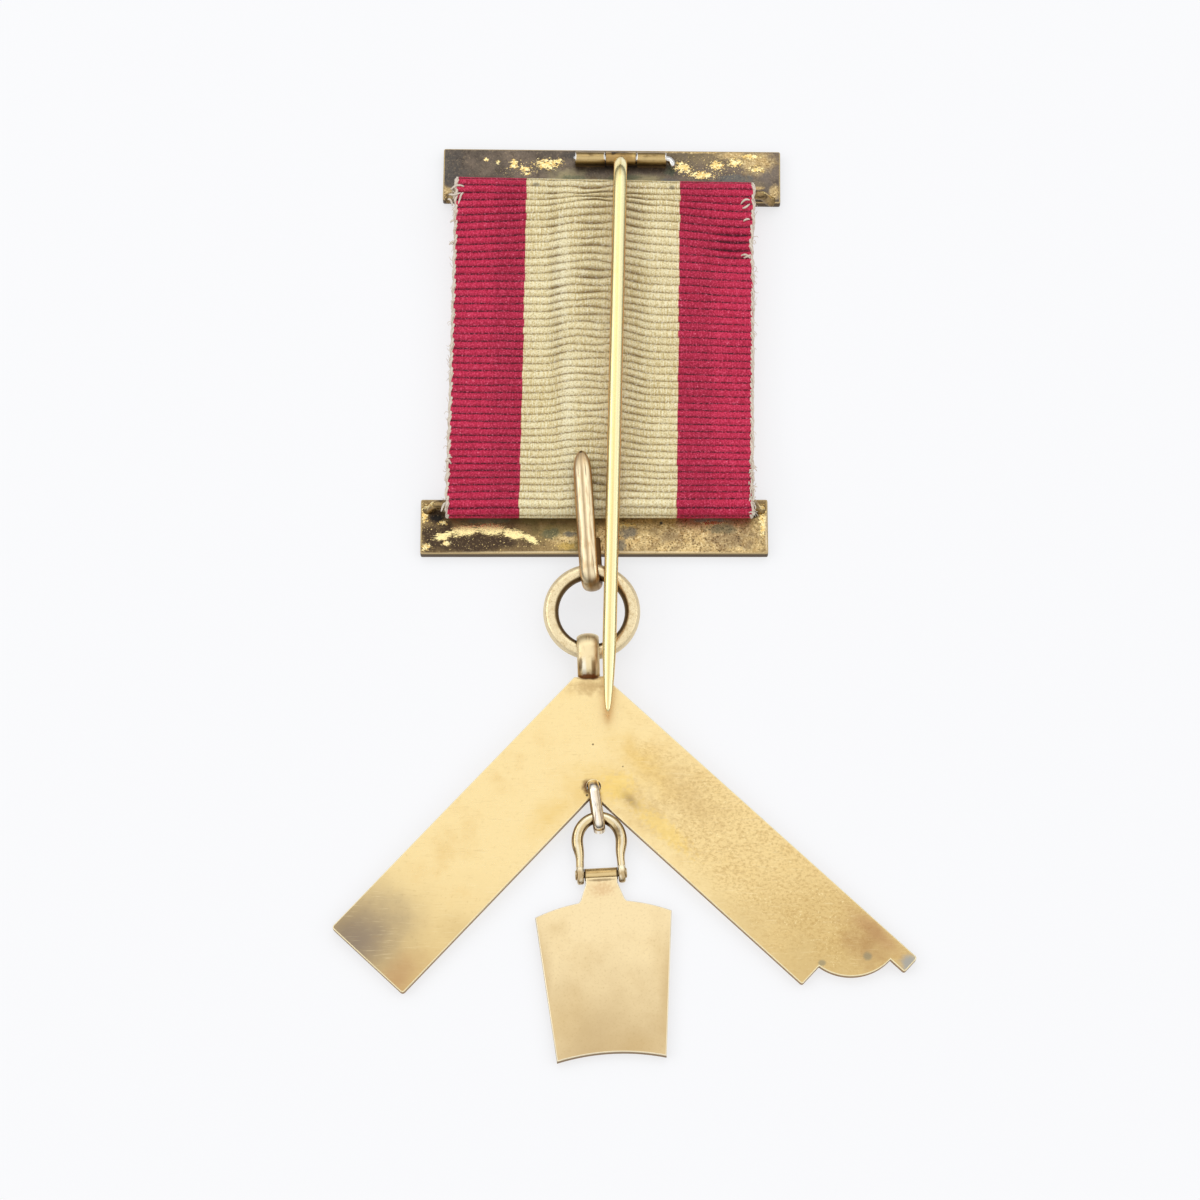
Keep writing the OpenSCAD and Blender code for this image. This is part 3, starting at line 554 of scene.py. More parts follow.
made.soft_patch([(-22.8, -56.2, 6.0, 3.0, 45), (33.0, -50.6, 7.0, 1.5, -43)],
           (186, 142, 100), 0.4, 0.95, 0.6, 0.4, 2.5, 1.0)
made.soft_patch([(31.8, -52.0, 5.0, 3.4, -43)], (176, 134, 88), 0.42, 0.9, 0.6, 0.6, 1.6, 1.0)
made.soft_patch([(37.0, -54.6, 1.9, 1.6, -43)], (170, 168, 160), 0.3, 1.0, 0.95, 0.3, 1.0)
made.soft_patch([(26.56, -54.2, 0.6, 0.5), (31.9, -53.4, 0.7, 0.7)], (150, 142, 116), 0.45, 0.9, 0.7, 0.2)
made.soft_patch([(-0.13, -27.9, 0.16, 0.16), (-0.84, -34.1, 0.2, 0.2), (3.4, -30.6, 0.12, 0.12)],
           (90, 70, 40), 0.6, 0.6, 0.9, 0.1)
made.soft_patch([(-0.6, -20.8, 3.0, 1.6)], (176, 138, 84), 0.4, 0.9, 0.6, 0.7, 0.6, 1.0)
made.soft_patch([(-0.6, -19.6, 1.9, 0.5), (-0.5, -33.05, 1.25, 1.15)], (96, 54, 24), 0.5, 0.7, 0.95, 0.3, 0.5)
# Painted shade on the square's side faces, and a painted highlight on its upper rim
square_finish = made.shaded_sides_and_lit_rim(SQUARE_T, (150, 116, 70), (255, 240, 196)).close()

made = gilt("matt_gilt_keystone", (243, 221, 174), (232, 207, 158), 0.42, 5.0, 0.5, 0.35)
made.soft_patch([(1.4, -66.5, 16, 17), (-7.5, -56, 4, 12, 8)], (196, 168, 122), 0.45, 0.97, 0.8, 0.3, 4.0, 1.0)
made.relief(made.noise(0.35, 3.0, 0.6, (0.12, 1.4, 1), 4), 0.006)
made.soft_patch([(7.6, -53, 1.8, 7), (-3.6, -61, 4.5, 5), (5, -64, 5, 2.5), (-4.5, -50, 2, 1.5)],
           (206, 176, 122), 0.45, 0.97, 0.4, 0.4, 3.0, 1.3)
made.soft_patch([(1.0, -45.2, 2.2, 1.4)], (204, 154, 104), 0.45, 0.95, 0.4, 0.9, 0.4, 1.0)
made.over(made.noise(0.3, 5.0, 0.75), 0.5, 0.72, 0.35, (190, 160, 108), 0.5)
made.soft_patch([(-6.6, -56, 1.6, 10, 6), (8.6, -57, 1.4, 10, -4), (1.6, -66.4, 8, 1.2)],
           (206, 178, 130), 0.45, 0.97, 0.7, 0.3, 3.0, 1.0)
# Painted shade on the plate just below the barrel
made.soft_patch([(0.83, -44.15, 2.1, 0.22, 3)], (110, 84, 48), 0.5, 0.8, 0.6, 0.3, 0.4)
# Painted shade on the keystone's side faces, and a painted highlight on its upper rim
keystone_finish = made.shaded_sides_and_lit_rim(KEY_T, (140, 112, 74), (250, 236, 204)).close()

# The ring: painted shade on its inner side, matt and pale on its outer side
made = gilt("brushed_gilt_ring", (244, 226, 184), (216, 192, 146), 0.28, 0.6, 0.6, 0.13)
made.over(made.noise(0.16, 3.0, 0.7), 0.5, 0.72, 0.6, (168, 140, 94), 0.4)
made.lay(made.window(made.u, 0.4, 0.5, 0.9, 0.95), (110, 88, 56), 0.45)
ring_finish = made.lay(made.window(made.u, 0.08, 0.15, 0.32, 0.4), (240, 222, 182), 0.6, 0.35).close()

# The hook is part of the bottom bar's solid
hook_finish = (
    gilt("streaked_gilt_hook", (250, 232, 192), (226, 200, 154), 0.3, 1.6, 0.4, bumps=0)
    .soft_patch([(-1.4, 8.6, 2.2, 3.6)], (190, 156, 108), 0.4, 0.97, 0.85, 0.3, 1.0, 1.0)
    # Painted reflections: light and dark bands along the hook
    .painted_reflection_bands([(-0.16, 0.05, (206, 164, 104), 0.7), (0.005, 0.04, (186, 160, 124), 0.7),
             (0.0, 0.01, (130, 108, 86), 0.45)])
    .streaked((186, 152, 108), 0.48, 0.64, 0.7).streaked((96, 74, 54), 0.6, 0.7, 0.85, 22.0, 0.14)
    # Sides darkened: partly tarnish, partly painted shade
    .tarnished_and_shaded_sides((200, 146, 84), 0.14, 0.18, 0.35, 0.7).tarnished_and_shaded_sides((112, 84, 50), 0.18, 0.26)
    # Painted shade at the bottom of the bend
    .soft_patch([(0.2, -8.9, 2.0, 1.3)], (136, 104, 62), 0.35, 1.0, 0.85, 0.3, 1.0, 0.8)
    .soft_patch([(-1.62, 7.95, 0.3, 0.2)], (60, 46, 34), 0.4, 0.9, 0.9, 0.2, 0.4).close())
link_finish = (
    gilt("polished_gilt_link", (246, 230, 200), (216, 194, 160), 0.13, 1.5, 0.3, bumps=0)
    # Painted reflections: light and dark bands along the strap
    .painted_reflection_bands([(-0.19, 0.06, (132, 102, 64), 0.8), (-0.04, 0.06, (254, 250, 242), 0.85),
             (0.08, 0.045, (156, 132, 104), 0.7)])
    # Streaks, then the sides darkened: partly tarnish, partly painted shade
    .streaked((150, 122, 96), 0.52, 0.68, 0.7, 9.0, 0.5, 0.2).tarnished_and_shaded_sides((120, 90, 52), 0.16, 0.23, 0.35).close())
made = (
    gilt("cast_gilt_shackle", (230, 208, 160), (196, 168, 116), 0.2, 1.4, 0.5, bumps=0)
    # Painted reflections: light and dark bands along the wire
    .painted_reflection_bands([(-0.15, 0.07, (152, 120, 72), 0.8), (0.02, 0.05, (255, 248, 224), 0.6),
             (0.13, 0.05, (196, 166, 116), 0.6)])
    .streaked((170, 140, 96), 0.52, 0.7, 0.6, 7.0, 0.25, 0.25)
    # Sides darkened: partly tarnish, partly painted shade
    .tarnished_and_shaded_sides((160, 128, 78), 0.14, 0.2, 0.35, 0.7).tarnished_and_shaded_sides((92, 70, 40), 0.2, 0.26, 0.4)
    .soft_patch([(2.6, -38.6, 0.7, 1.0), (-2.4, -40.8, 0.4, 0.5)], (118, 92, 56), 0.4, 0.9, 0.7, 0.7, 0.35)
    .soft_patch([(3.3, -43.8, 0.8, 1.4), (-1.7, -43.9, 0.8, 1.4)], (176, 146, 96), 0.4, 0.95, 0.8, 0.4, 0.8)
    .soft_patch([(3.1, -43.9, 0.25, 0.5), (-1.5, -44.3, 0.25, 0.4)], (232, 220, 194), 0.25, 1.0, 0.6, 0.5, 0.4))
shackle_finish = made.relief(made.step(made.noise(0.5, 2.0), 0.5, 0.66), 0.004).close()

# The pin: pale gold, one half of its roof paler as a painted highlight, a thin line along its
# ridge as a painted dark reflection, and its sides a darker gold of tarnish and painted shade
made = gilt("bright_gilt_pin", (255, 238, 176), (252, 230, 160), 0.22, 2.5, 0.3, bumps=0)
made.over(made.u, 0.498, 0.5, 1.0, (254, 244, 192))
ridge = made.math("ABSOLUTE", made.math("SUBTRACT", made.math("PINGPONG", made.u, 0.5), 0.012))
made.over(ridge, 0.04, 0.012, 0.6, (222, 192, 120))
pin_finish = made.tarnished_and_shaded_sides((240, 196, 116), 0.15, 0.2, 0.3).tarnished_and_shaded_sides((204, 158, 90), 0.19, 0.26, 0.4).close()
wire_finish = gilt("bright_hinge_wire", (232, 232, 230), (180, 176, 170), 0.18, 1.0, 0.2, bumps=0).close()


# ---------------------------------------------------------------- bars

BAR_W, BAR_H = 42.0, 7.0
ROD_D, ROD_Z = 1.1, 3.05
HINGE_X, HINGE_V, HINGE_Z, BARREL_R, BORE_R = 1.1, 1.845, 2.275, 0.875, 0.45
SIDE_BARREL_L, MID_BARREL_L, BARREL_GAP = 3.7, 3.75, 0.1
SIDE_BARREL_X = (MID_BARREL_L + SIDE_BARREL_L) / 2 + BARREL_GAP
SADDLE_W, SADDLE_TOP = 1.32, 1.72


def on_top_bar(points):
    """From the top bar's own frame, whose origin is its middle on the table."""
    return turned(points, z=TOP_LEAN) + TOP_BAR


def as_is(points):
    return points


def bar_plate(name, place, finish, node):
    """A bar's plate, with a softened edge."""
    bar = Piece(name)
    bar.plate([block(BAR_W / 2, BAR_H / 2, 0.22)], 0.0, BAR_T, place, 0.14)
    bar.finished(finish, "jewel", "bar_tarnished_gilt", node)


def barrel_profile(length, radius, bore, rim=0.08):
    """A bored barrel's wall as a closed profile, with its outer rims softened."""
    half = length / 2
    right = [(half - rim, radius), (half - rim * 0.3, radius - rim * 0.3), (half, radius - rim), (half, bore)]
    return [(-x, r) for x, r in right[::-1]] + right


def hinge_barrel(piece, x, length):
    """A bored barrel of the pin's hinge, its middle at x."""
    piece.revolved(barrel_profile(length, BARREL_R, BORE_R),
                   lambda p: on_top_bar(p + [x, HINGE_V, HINGE_Z]), closed=True)


bar_plate("top_bar_plate", on_top_bar, top_bar_finish, "top_bar")

HINGE = on_top_bar(np.array([HINGE_X, HINGE_V, HINGE_Z]))
rims = [(HINGE[0] + d, HINGE[1], 0.1, 0.62) for d in (-5.62, -2.02, 2.02, 5.62)]
made = gilt("brushed_gilt_hinge", (176, 150, 102), (120, 98, 64), 0.3, 1.2, 0.5, 0.2)
made.over(made.noise(0.12, 3.0, 0.6, (0.12, 1, 1)), 0.5, 0.7, 0.5, (206, 178, 118))
made.over(made.near([(3.44, 49.2, 2.0, 0.6)], 0.3), 0.0, 0.4, 1.0, (76, 62, 48))
# Painted reflections: light and dark bands along the barrels
made.painted_reflection_bands([(-0.05, 0.05, (220, 194, 138), 0.6), (0.1, 0.06, (120, 98, 64), 0.6)])
# Sides darkened: partly tarnish, partly painted shade
made.tarnished_and_shaded_sides((92, 70, 44), 0.16, 0.24, 0.5, 0.8)
made.soft_patch(rims, (246, 246, 242), 0.2, 1.0, 1.0, 0.0, 1.0, 0.3)
barrels = Piece("hinge_barrels")
for side in (-1, 1):
    x = HINGE_X + side * SIDE_BARREL_X
    hinge_barrel(barrels, x, SIDE_BARREL_L)
    barrels.plate([block(SIDE_BARREL_L / 2, SADDLE_W / 2, 0.15)], BAR_T - 0.1, SADDLE_TOP,
                  lambda p: on_top_bar(p + [x, HINGE_V, 0]), 0.1)
barrels.finished(made.close(), "jewel", "bar_tarnished_gilt")

bar_plate("bottom_bar_plate", as_is, bottom_bar_finish, "bottom_bar")

# The rods that the ribbon is looped on: at either end a rod turns down and runs flat into the
# plate, where it is soldered
for name, v, place, left, right in (("top_bar_rail", -3.25, on_top_bar, -19.4, 19.0),
                                    ("bottom_bar_rail", 2.2, as_is, -19.4, 19.4)):
    foot = np.array([[1.0, BAR_T - 0.3], [0.4, BAR_T + 0.25], [-0.3, ROD_Z]])
    rod = filleted(np.r_[foot * [-1, 1] + [left, 0], (foot + [right, 0])[::-1]],
                   [0.01, 0.35, 0.6, 0.6, 0.35, 0.01], 9)[8:-8]
    rod = softened(resampled(np.insert(rod, 1, v, 1), 260), 5)
    spread = 1 + 0.2 * np.clip(1 - from_ends(rod) / 1.6, 0, 1)
    section = oval(ROD_D, ROD_D, 2.1) * np.stack([spread, 0.75 + 0.25 / spread], 1)[:, None]
    rail = Piece(name)
    rail.tube(place(rod), place(rod + [0, 0, 1]) - place(rod), section)
    rail.finished(rail_finish, "jewel", "bar_tarnished_gilt")

# ---------------------------------------------------------------- hinge wire and brooch pin

WIRE_D = 0.8
wire = Piece("hinge_wire_bent")
reach = MID_BARREL_L / 2 + BARREL_GAP + SIDE_BARREL_L
run = np.array([[-reach - 0.2, 0, 0], [reach + 0.2, 0, 0], [reach + 0.5, -0.05, 0],
                [reach + 0.72, -0.4, 0], [reach + 0.85, -1.05, -0.02]])
run = softened(resampled(run, 60), 3) + [HINGE_X, HINGE_V, HINGE_Z]
blunt = np.minimum(1, 0.6 + 0.4 * np.minimum(np.arange(60), np.arange(60)[::-1]) / 2)
wire.tube(on_top_bar(run), [0, 0, 1], oval(WIRE_D, WIRE_D, count=20) * blunt[:, None, None])
wire.finished(wire_finish, "jewel", "hinge_bright_wire", "hinge_wire")

PIN_L, POINT_L, PIN_W, PIN_Z, PIN_TURN = 73.3, 8.3, 1.64, 5.55, -0.7
pin_barrel = Piece("pin_barrel")
hinge_barrel(pin_barrel, HINGE_X, MID_BARREL_L)
pin_barrel.finished(
    gilt("brown_gilt_pin_barrel", (176, 144, 92), (120, 94, 60), 0.32, 1.0, 0.6, 0.2)
    # Sides darkened: partly tarnish, partly painted shade
    .tarnished_and_shaded_sides((84, 64, 42), 0.16, 0.24, 0.5, 0.8)
    .soft_patch([(3.3, 49.3, 1.3, 0.5), (2.4, 48.9, 0.4, 0.4)], (58, 46, 36), 0.5, 0.8, 0.9, 0.6, 0.5)
    .soft_patch([(4.9, 48.6, 0.35, 0.8)], (206, 176, 112), 0.3, 1.0, 0.8, 0.5, 0.5).close(),
    "pin", "pin_bright_gilt")

pin = Piece("brooch_pin_shank")
# The pin's middle line climbs from its barrel, levels out and runs to the point; its section
# is round below and like a low roof above, and it narrows to the point along a full curve.
line = np.array([[0, -0.45, 2.55], [0, -0.9, 3.2], [0, -1.8, 4.3], [0, -2.7, 5.1], [0, -3.7, 5.5],
                 [0, -5.0, PIN_Z], [0, -12, PIN_Z], [0, -PIN_L, PIN_Z]])
line = softened(resampled(line, 400), 14)
left_over = PIN_L + line[:, 1]
slim = np.clip(left_over / POINT_L, 0.01, 1) ** 0.34
slim *= np.sqrt(np.clip(left_over / 0.25, 0.02, 1))
slim *= np.sqrt(np.clip((lengths_along(line) + 0.02) / 0.5, 0, 1))
roof, belly = oval(PIN_W, 0.96, 1.55, 48), oval(PIN_W, 1.96, 2.0, 48)
roof[:, 1] = np.where(roof[:, 1] > 0, roof[:, 1], belly[:, 1]) + 0.25
shank = turned(line, z=PIN_TURN) + [HINGE_X, HINGE_V, 0]
pin.tube(on_top_bar(shank), [0, 0.2, 1], roof * slim[:, None, None])
pin.finished(pin_finish, "pin", "pin_bright_gilt", "brooch_pin")

# ---------------------------------------------------------------- hook, ring and square

HOOK_W, HOOK_T, HOOK_R, HOOK_L, HOOK_TAPER, STEM_L = 2.25, 1.4, 1.822, 14.8, 6.0, 4.6
TIP_W, TIP_T, TIP_L = 2.05, 1.3, 2.6
HOOK_AT, HOOK_TURN = [-0.38, -6.53, 3.7], {"y": -9, "z": 3.5}
hook = Piece("bar_hook")
line = np.r_[[[STEM_L, -HOOK_R]], arc(HOOK_R, -90, -270, 40), [[HOOK_L, HOOK_R]]]
line = softened(resampled(np.insert(line, 0, 0, 1), 240), 6)
to_tip = lengths_along(line[::-1])[::-1]
fall = np.clip(to_tip / HOOK_TAPER, 0, 1)
wide = TIP_W + (HOOK_W - TIP_W) * np.sin(fall * np.pi / 2)
thick = TIP_T + (HOOK_T - TIP_T) * fall
bullet = (1 - (1 - np.clip(to_tip / TIP_L, 0.003, 1)) ** 2) ** 0.55
section = oval(1, 1, 2.1, 36) * np.stack([wide * bullet, thick * bullet], 1)[:, None]
up = np.where(line[:, 1:2] > 0, np.sign(line) * [0, 0, 1], line * [0, 1, 1])
hook.tube(turned(line, **HOOK_TURN) + HOOK_AT, turned(up, **HOOK_TURN), section)
hook.finished(hook_finish, "jewel", "bar_tarnished_gilt")

RING_PITCH, RING_W, RING_T, RING_TILT, RING_AT = 9.75, 1.85, 1.6, 7.83, [-0.29, -11.511, 3.025]
ring = Piece("suspension_ring_wire")
line = np.insert(circle(RING_PITCH / 2, 160), 2, 0, 1)
ring.tube(turned(line, x=RING_TILT) + RING_AT, turned(np.array([0, 0, 1]), x=RING_TILT),
          oval(RING_W, RING_T, 2.25, 36), along=True)
ring.finished(ring_finish, "jewel", "ring_brushed_gilt", "suspension_ring")

ARM_W, SHORT_L, LONG_L, CUT = 11.5, 44.0, 52.5, 2.5
SHOULDER_R, TONGUE_W, TONGUE_L, STEP = 6.3, 2.3, 2.2, 0.75
HOLE_R, HOLE_AT = 0.78, [0.08, -15.25]
SQUARE_AT, SQUARE_TURN, SQUARE_TILT = [-0.67, -17.737, 1.684], 2.0, 2.411


def on_square(points):
    """From the square's own frame: its uncut outer corner at the origin, its plate above z 0."""
    return turned(turned(points, z=SQUARE_TURN), x=SQUARE_TILT) + SQUARE_AT


def arm_points(side, places):
    """Points of an arm, from the length along its outer edge and the depth in from it."""
    s, t = np.asarray(places, float).T
    return np.stack([side * (s - t), -(s + t)], 1) / np.sqrt(2)


shoulder_s = LONG_L - TONGUE_L - SHOULDER_R
shoulder_end = 90 - np.degrees(np.arcsin(STEP / SHOULDER_R))
shoulder = arc(SHOULDER_R, 0, shoulder_end, 24) + [shoulder_s, TONGUE_W]
corners = np.r_[arm_points(1, [[CUT, 0], [LONG_L, 0], [LONG_L, TONGUE_W], shoulder[0], shoulder[-1],
                               [shoulder_s + STEP, ARM_W], [ARM_W, ARM_W]]),
                arm_points(-1, [[SHORT_L, ARM_W], [SHORT_L, 0], [CUT, 0]])]
outline = filleted(corners, [0.3, 0.35, 0.25, 0.1, 0.1, 0.25, 0.15, 0.35, 0.35, 0.3], 4)
outline = np.r_[outline[:12], arm_points(1, shoulder), outline[20:]]
square = Piece("square_plate")
square.plate([outline, circle(HOLE_R, 32) + HOLE_AT], 0.0, SQUARE_T, on_square, 0.11)
square.finished(square_finish, "jewel", "square_worn_gilt", "square")

BAIL_R, BAIL_UP, BAIL_W, BAIL_T = 1.65, 1.6, 2.65, 0.9
bail = Piece("square_bail")
foot = np.array([[-1.85, -0.1], [-1.6, 0.3], [-1.1, 0.66], [-0.4, 0.95]])
line = np.r_[foot + [0, SQUARE_T], arc(BAIL_R, 100, -100, 40) + [BAIL_UP, SQUARE_T / 2],
             (foot * [1, -1])[::-1]]
line = softened(resampled(np.insert(line, 0, 0, 1), 120), 8)
up = unit(line - [0, BAIL_UP - 0.6, SQUARE_T / 2])
thick = BAIL_T * (0.5 + 0.5 * np.clip(from_ends(line) / 1.2, 0, 1) ** 0.8)
wide = BAIL_W * (0.9 + 0.1 * np.clip(from_ends(line) / 0.8, 0, 1))
strap = oval(1, 1, 2.0, 36)
strap[:, 1] = strap[:, 1] * np.where(strap[:, 1] < 0, 0.4, 1.2) - 0.1
bail.tube(on_square(line), on_square(line + up) - on_square(line),
          strap * np.stack([wide, thick], 1)[:, None])
bail.finished(
    gilt("polished_gilt_bail", (246, 226, 180), (214, 186, 132), 0.42, 1.0, 0.4, bumps=0)
    # Painted reflections: light and dark bands along the strap, on its lower part only
    .painted_reflection_bands([(-0.18, 0.07, (186, 142, 78), 0.85), (-0.07, 0.05, (255, 248, 228), 0.85),
             (0.075, 0.05, (132, 100, 58), 0.85), (0.17, 0.05, (206, 170, 112), 0.6)],
            [(-0.6, -19.4, 3.0, 2.2)])
    .streaked((150, 116, 72), 0.54, 0.7, 0.6, 8.0, 0.3, 0.25)
    # Sides darkened: partly tarnish, partly painted shade
    .tarnished_and_shaded_sides((176, 138, 82), 0.19, 0.24, 0.35, 0.6).tarnished_and_shaded_sides((104, 78, 44), 0.26, 0.32)
    .soft_patch([(-0.6, -19.75, 1.9, 0.5)], (128, 74, 34), 0.5, 0.8, 0.95, 0.4, 0.4)
    .soft_patch([(-1.6, -18.4, 0.3, 0.9)], (96, 72, 44), 0.35, 0.9, 0.8, 0.5, 0.5).close(),
    "jewel", "square_worn_gilt")

# ---------------------------------------------------------------- link and shackle

LINK_R, LINK_SPAN, LINK_W, LINK_T = 1.35, 2.95, 1.35, 0.9
LINK_LOW, LINK_LEAN = [0.468, -36.915, 1.8], 8.0
link = Piece("corner_link_strap")
half_round = arc(LINK_R, 0, 180, 48)
line = np.r_[half_round + [0, LINK_SPAN], -half_round]
line = resampled(np.r_[line, line[:1]], 121)[:-1]
line = np.insert(line[:, ::-1], 0, 0, 1)
middle = np.clip(line[:, 1], 0, LINK_SPAN)[:, None] * [0, 1, 0]
link.tube(turned(line, z=LINK_LEAN) + LINK_LOW, turned(line - middle, z=LINK_LEAN),
          oval(LINK_W, LINK_T, 2.3, 28), along=True)
link.finished(link_finish, "jewel", "link_polished_gilt", "corner_link")

KEY_AXIS, KEY_TURN, SHACKLE_TILT = np.array([0.8298, -43.3139, 0.72]), 3.2, 9.64
SHACKLE_WIRE, SHACKLE_LOW_WIRE, ARCH_R, ARCH_Y, ARCH_STRETCH = 1.36, 0.92, 2.62, 3.9, 1.08
EAR_X, EAR_T, EAR_R, EAR_TAIL, EYE_R = 2.45, 0.8, 0.7, 1.15, 0.45


def at_key_axis(points):
    """From the frame of the keystone's barrel, turned with the keystone."""
    return turned(points, z=KEY_TURN) + KEY_AXIS


shackle = Piece("shackle_bow")
arch = arc(ARCH_R, -8, 188, 60) * [1, ARCH_STRETCH] + [0, ARCH_Y]
foot = np.array([[EAR_X, -0.2], [EAR_X, 0.8], [2.4, 1.6], [2.38, 2.3], [2.5, 3.1]])
line = np.r_[foot, arch, (foot * [-1, 1])[::-1]]
line = softened(resampled(np.insert(line, 2, 0, 1), 240), 60)
share = np.clip((line[:, 1] - 1.6) / (ARCH_Y - 1.6), 0, 1)
thick = SHACKLE_LOW_WIRE + (SHACKLE_WIRE - SHACKLE_LOW_WIRE) * np.sin(share * np.pi / 2) ** 1.5
shackle.tube(at_key_axis(turned(line, x=SHACKLE_TILT)), [0, 0, 1],
             oval(1, 1, 2.2, 32) * thick[:, None, None])
nose = np.array([[0.35, 0.69], [0.75, 0.62], [1.1, 0.5], [1.35, 0.3]])
ear = np.r_[arc(EAR_R, -90, -270, 24) + [EAR_R - EAR_TAIL, 0], nose, (nose * [1, -1])[::-1]]
for side in (-1, 1):
    shackle.plate([ear, circle(EYE_R, 24)], -EAR_T / 2, EAR_T / 2,
                  lambda p: at_key_axis(p[..., [2, 0, 1]] + [side * EAR_X, 0, 0]), 0.25)
shackle.finished(shackle_finish, "jewel", "shackle_gilt", "shackle")

cross_pin = Piece("cross_pin_riveted")
head = EAR_X + EAR_T / 2 + 0.02
half = [(head + 0.18, 0.3), (head + 0.16, 0.5), (head + 0.08, 0.6), (head, 0.6), (head, 0.4)]
cross_pin.revolved([(-x, r) for x, r in half] + half[::-1], at_key_axis, 32)
cross_pin.finished(shackle_finish, "jewel", "shackle_gilt", "cross_pin")

# ---------------------------------------------------------------- keystone

TOP_W, LOW_W, KEY_H, CROWN, LOW_RISE = 16.0, 12.7, 17.3, 1.68, 0.8
NECK_W, NECK_ROOT_W, NECK_L = 3.75, 5.15, 4.95
KEY_BARREL_L, KEY_BARREL_R = 3.9, 0.72


def arc_through(half, rise, y, count, start, end):
    """Points of a shallow arc over a chord: its middle stands rise above the chord's ends."""
    r = (half * half + rise * rise) / (2 * rise)
    x = np.linspace(start, end, count) * half
    return np.stack([x, y + rise - r + np.sqrt(r * r - x * x)], 1)


neck_root = (NECK_ROOT_W / 2 + 0.25) / (TOP_W / 2)
right_crown = arc_through(TOP_W / 2, CROWN, -NECK_L, 16, 1.0, neck_root)
neck = [[NECK_ROOT_W / 2 + 0.02, right_crown[-1, 1] + 0.28], [NECK_W / 2, -EAR_TAIL - 0.1],
        [NECK_W / 2, -0.3]]
right = np.r_[right_crown, neck]
low = arc_through(LOW_W / 2, LOW_RISE, -NECK_L - KEY_H, 24, -1.0, 1.0)
outline = np.r_[right, (right * [-1, 1])[::-1], low]
keystone = Piece("keystone_plate")
keystone.plate([outline], -KEY_AXIS[2], KEY_T - KEY_AXIS[2], at_key_axis)
keystone.finished(keystone_finish, "keystone_drop", "keystone_matt_gilt", "keystone")
key_barrel = Piece("keystone_barrel")
key_barrel.revolved(barrel_profile(KEY_BARREL_L, KEY_BARREL_R, BORE_R, 0.06), at_key_axis, closed=True)
made = gilt("brushed_gilt_keystone_barrel", (196, 166, 112), (162, 132, 84), 0.28, 0.8, 0.5, 0.2)
made.over(made.noise(0.14, 3.0, 0.6, (0.1, 1, 1), 3), 0.5, 0.7, 0.5, (214, 184, 126))
# Painted reflections: a light band along the barrel and a dark one below it
made.painted_reflection_bands([(-0.05, 0.06, (238, 212, 156), 0.7), (-0.2, 0.05, (112, 86, 50), 0.8)])
# Sides darkened: partly tarnish, partly painted shade
made.tarnished_and_shaded_sides((96, 72, 40), 0.17, 0.24, 0.5, 0.6)
made.soft_patch([(-1.1, -43.4, 0.22, 1.0), (2.75, -43.2, 0.22, 1.0)], (70, 50, 28), 0.5, 0.8, 0.9, 0.2, 0.3)
key_barrel.finished(made.close(), "keystone_drop", "keystone_matt_gilt")

# ---------------------------------------------------------------- ribbon

RIBBON_W, CLOTH_T, LOOP_R = 37.2, 1.0, 1.15
LOW_FOLD_Y, TOP_FOLD_Y = 2.05, 43.35
SPAN_Y = TOP_FOLD_Y - LOW_FOLD_Y
TOP_SLIDE, LOW_SLIDE, RIBBON_PLAY = -0.72, 0.52, 2.4
BACK_DROP, FRONT_SAG, SWELL_H = 1.6, 0.7, 0.95
RIBS, PER_RIB = 94, 6
# The pucker in the right edge, a third of the way down
PUCKER_X, PUCKER_Y = 17.5, 36.2

# Rows of the wall's middle line, in order round the loop: share of the way from the lower rod to
# the upper one, step along y, height and share of the swell in the middle
back = np.array([[0.00, 0.00, 0.00], [0.05, 0.22, 0.06], [0.12, 0.58, 0.30], [0.22, 0.84, 0.62],
                 [0.34, 0.97, 0.88], [0.48, 1.00, 1.00], [0.62, 0.98, 0.95], [0.76, 0.86, 0.72],
                 [0.87, 0.58, 0.38], [0.95, 0.22, 0.08], [1.00, 0.00, 0.00]])
front = np.array([[0.0, 0.0], [0.06, 0.2], [0.18, 0.7], [0.35, 1.0], [0.65, 1.0], [0.82, 0.7],
                  [0.94, 0.2], [1.0, 0.0]])
# The front layer leaves the bars half a millimetre past their edges
clear = BAR_H / 2 + 0.5
front_low, front_top = (clear - LOW_FOLD_Y) / SPAN_Y, (TOP_BAR[1] - clear - LOW_FOLD_Y) / SPAN_Y
fold = arc(LOOP_R, 112.5, 247.5, 7)
low_side = ROD_Z - LOOP_R
rows = np.r_[
    np.c_[1 - back[:, 0], 0 * back[:, 0], ROD_Z + LOOP_R - back[:, 1] * BACK_DROP, back[:, 2]],
    np.c_[np.zeros(7), fold[:, 0], ROD_Z + fold[:, 1], np.zeros(7)],
    [[0, 0, low_side, 0]],
    np.c_[front_low + (front_top - front_low) * front[:, 0], np.zeros(8),
          low_side - front[:, 1] * FRONT_SAG, np.zeros(8)],
    [[1, 0, low_side, 0]],
    np.c_[np.ones(7), -fold[:, 0], ROD_Z - fold[:, 1], np.zeros(7)]]
rows = np.r_[rows, rows[:1]]
count = RIBS * PER_RIB
at = lengths_along(np.c_[rows[:, 0] * SPAN_Y + rows[:, 1], rows[:, 2]])
rows = np.stack([np.interp(np.linspace(0, at[-1], count + 1)[:-1], at, c) for c in rows.T], 1)
for _ in range(12):
    rows = (np.roll(rows, 1, 0) + 2 * rows + np.roll(rows, -1, 0)) / 4
share, step_y, height, swell = rows.T[:, :, None]
loop_length = at[-1]
# The swell's left flank moves in towards the bottom
flank = -4.1 - 1.3 * share


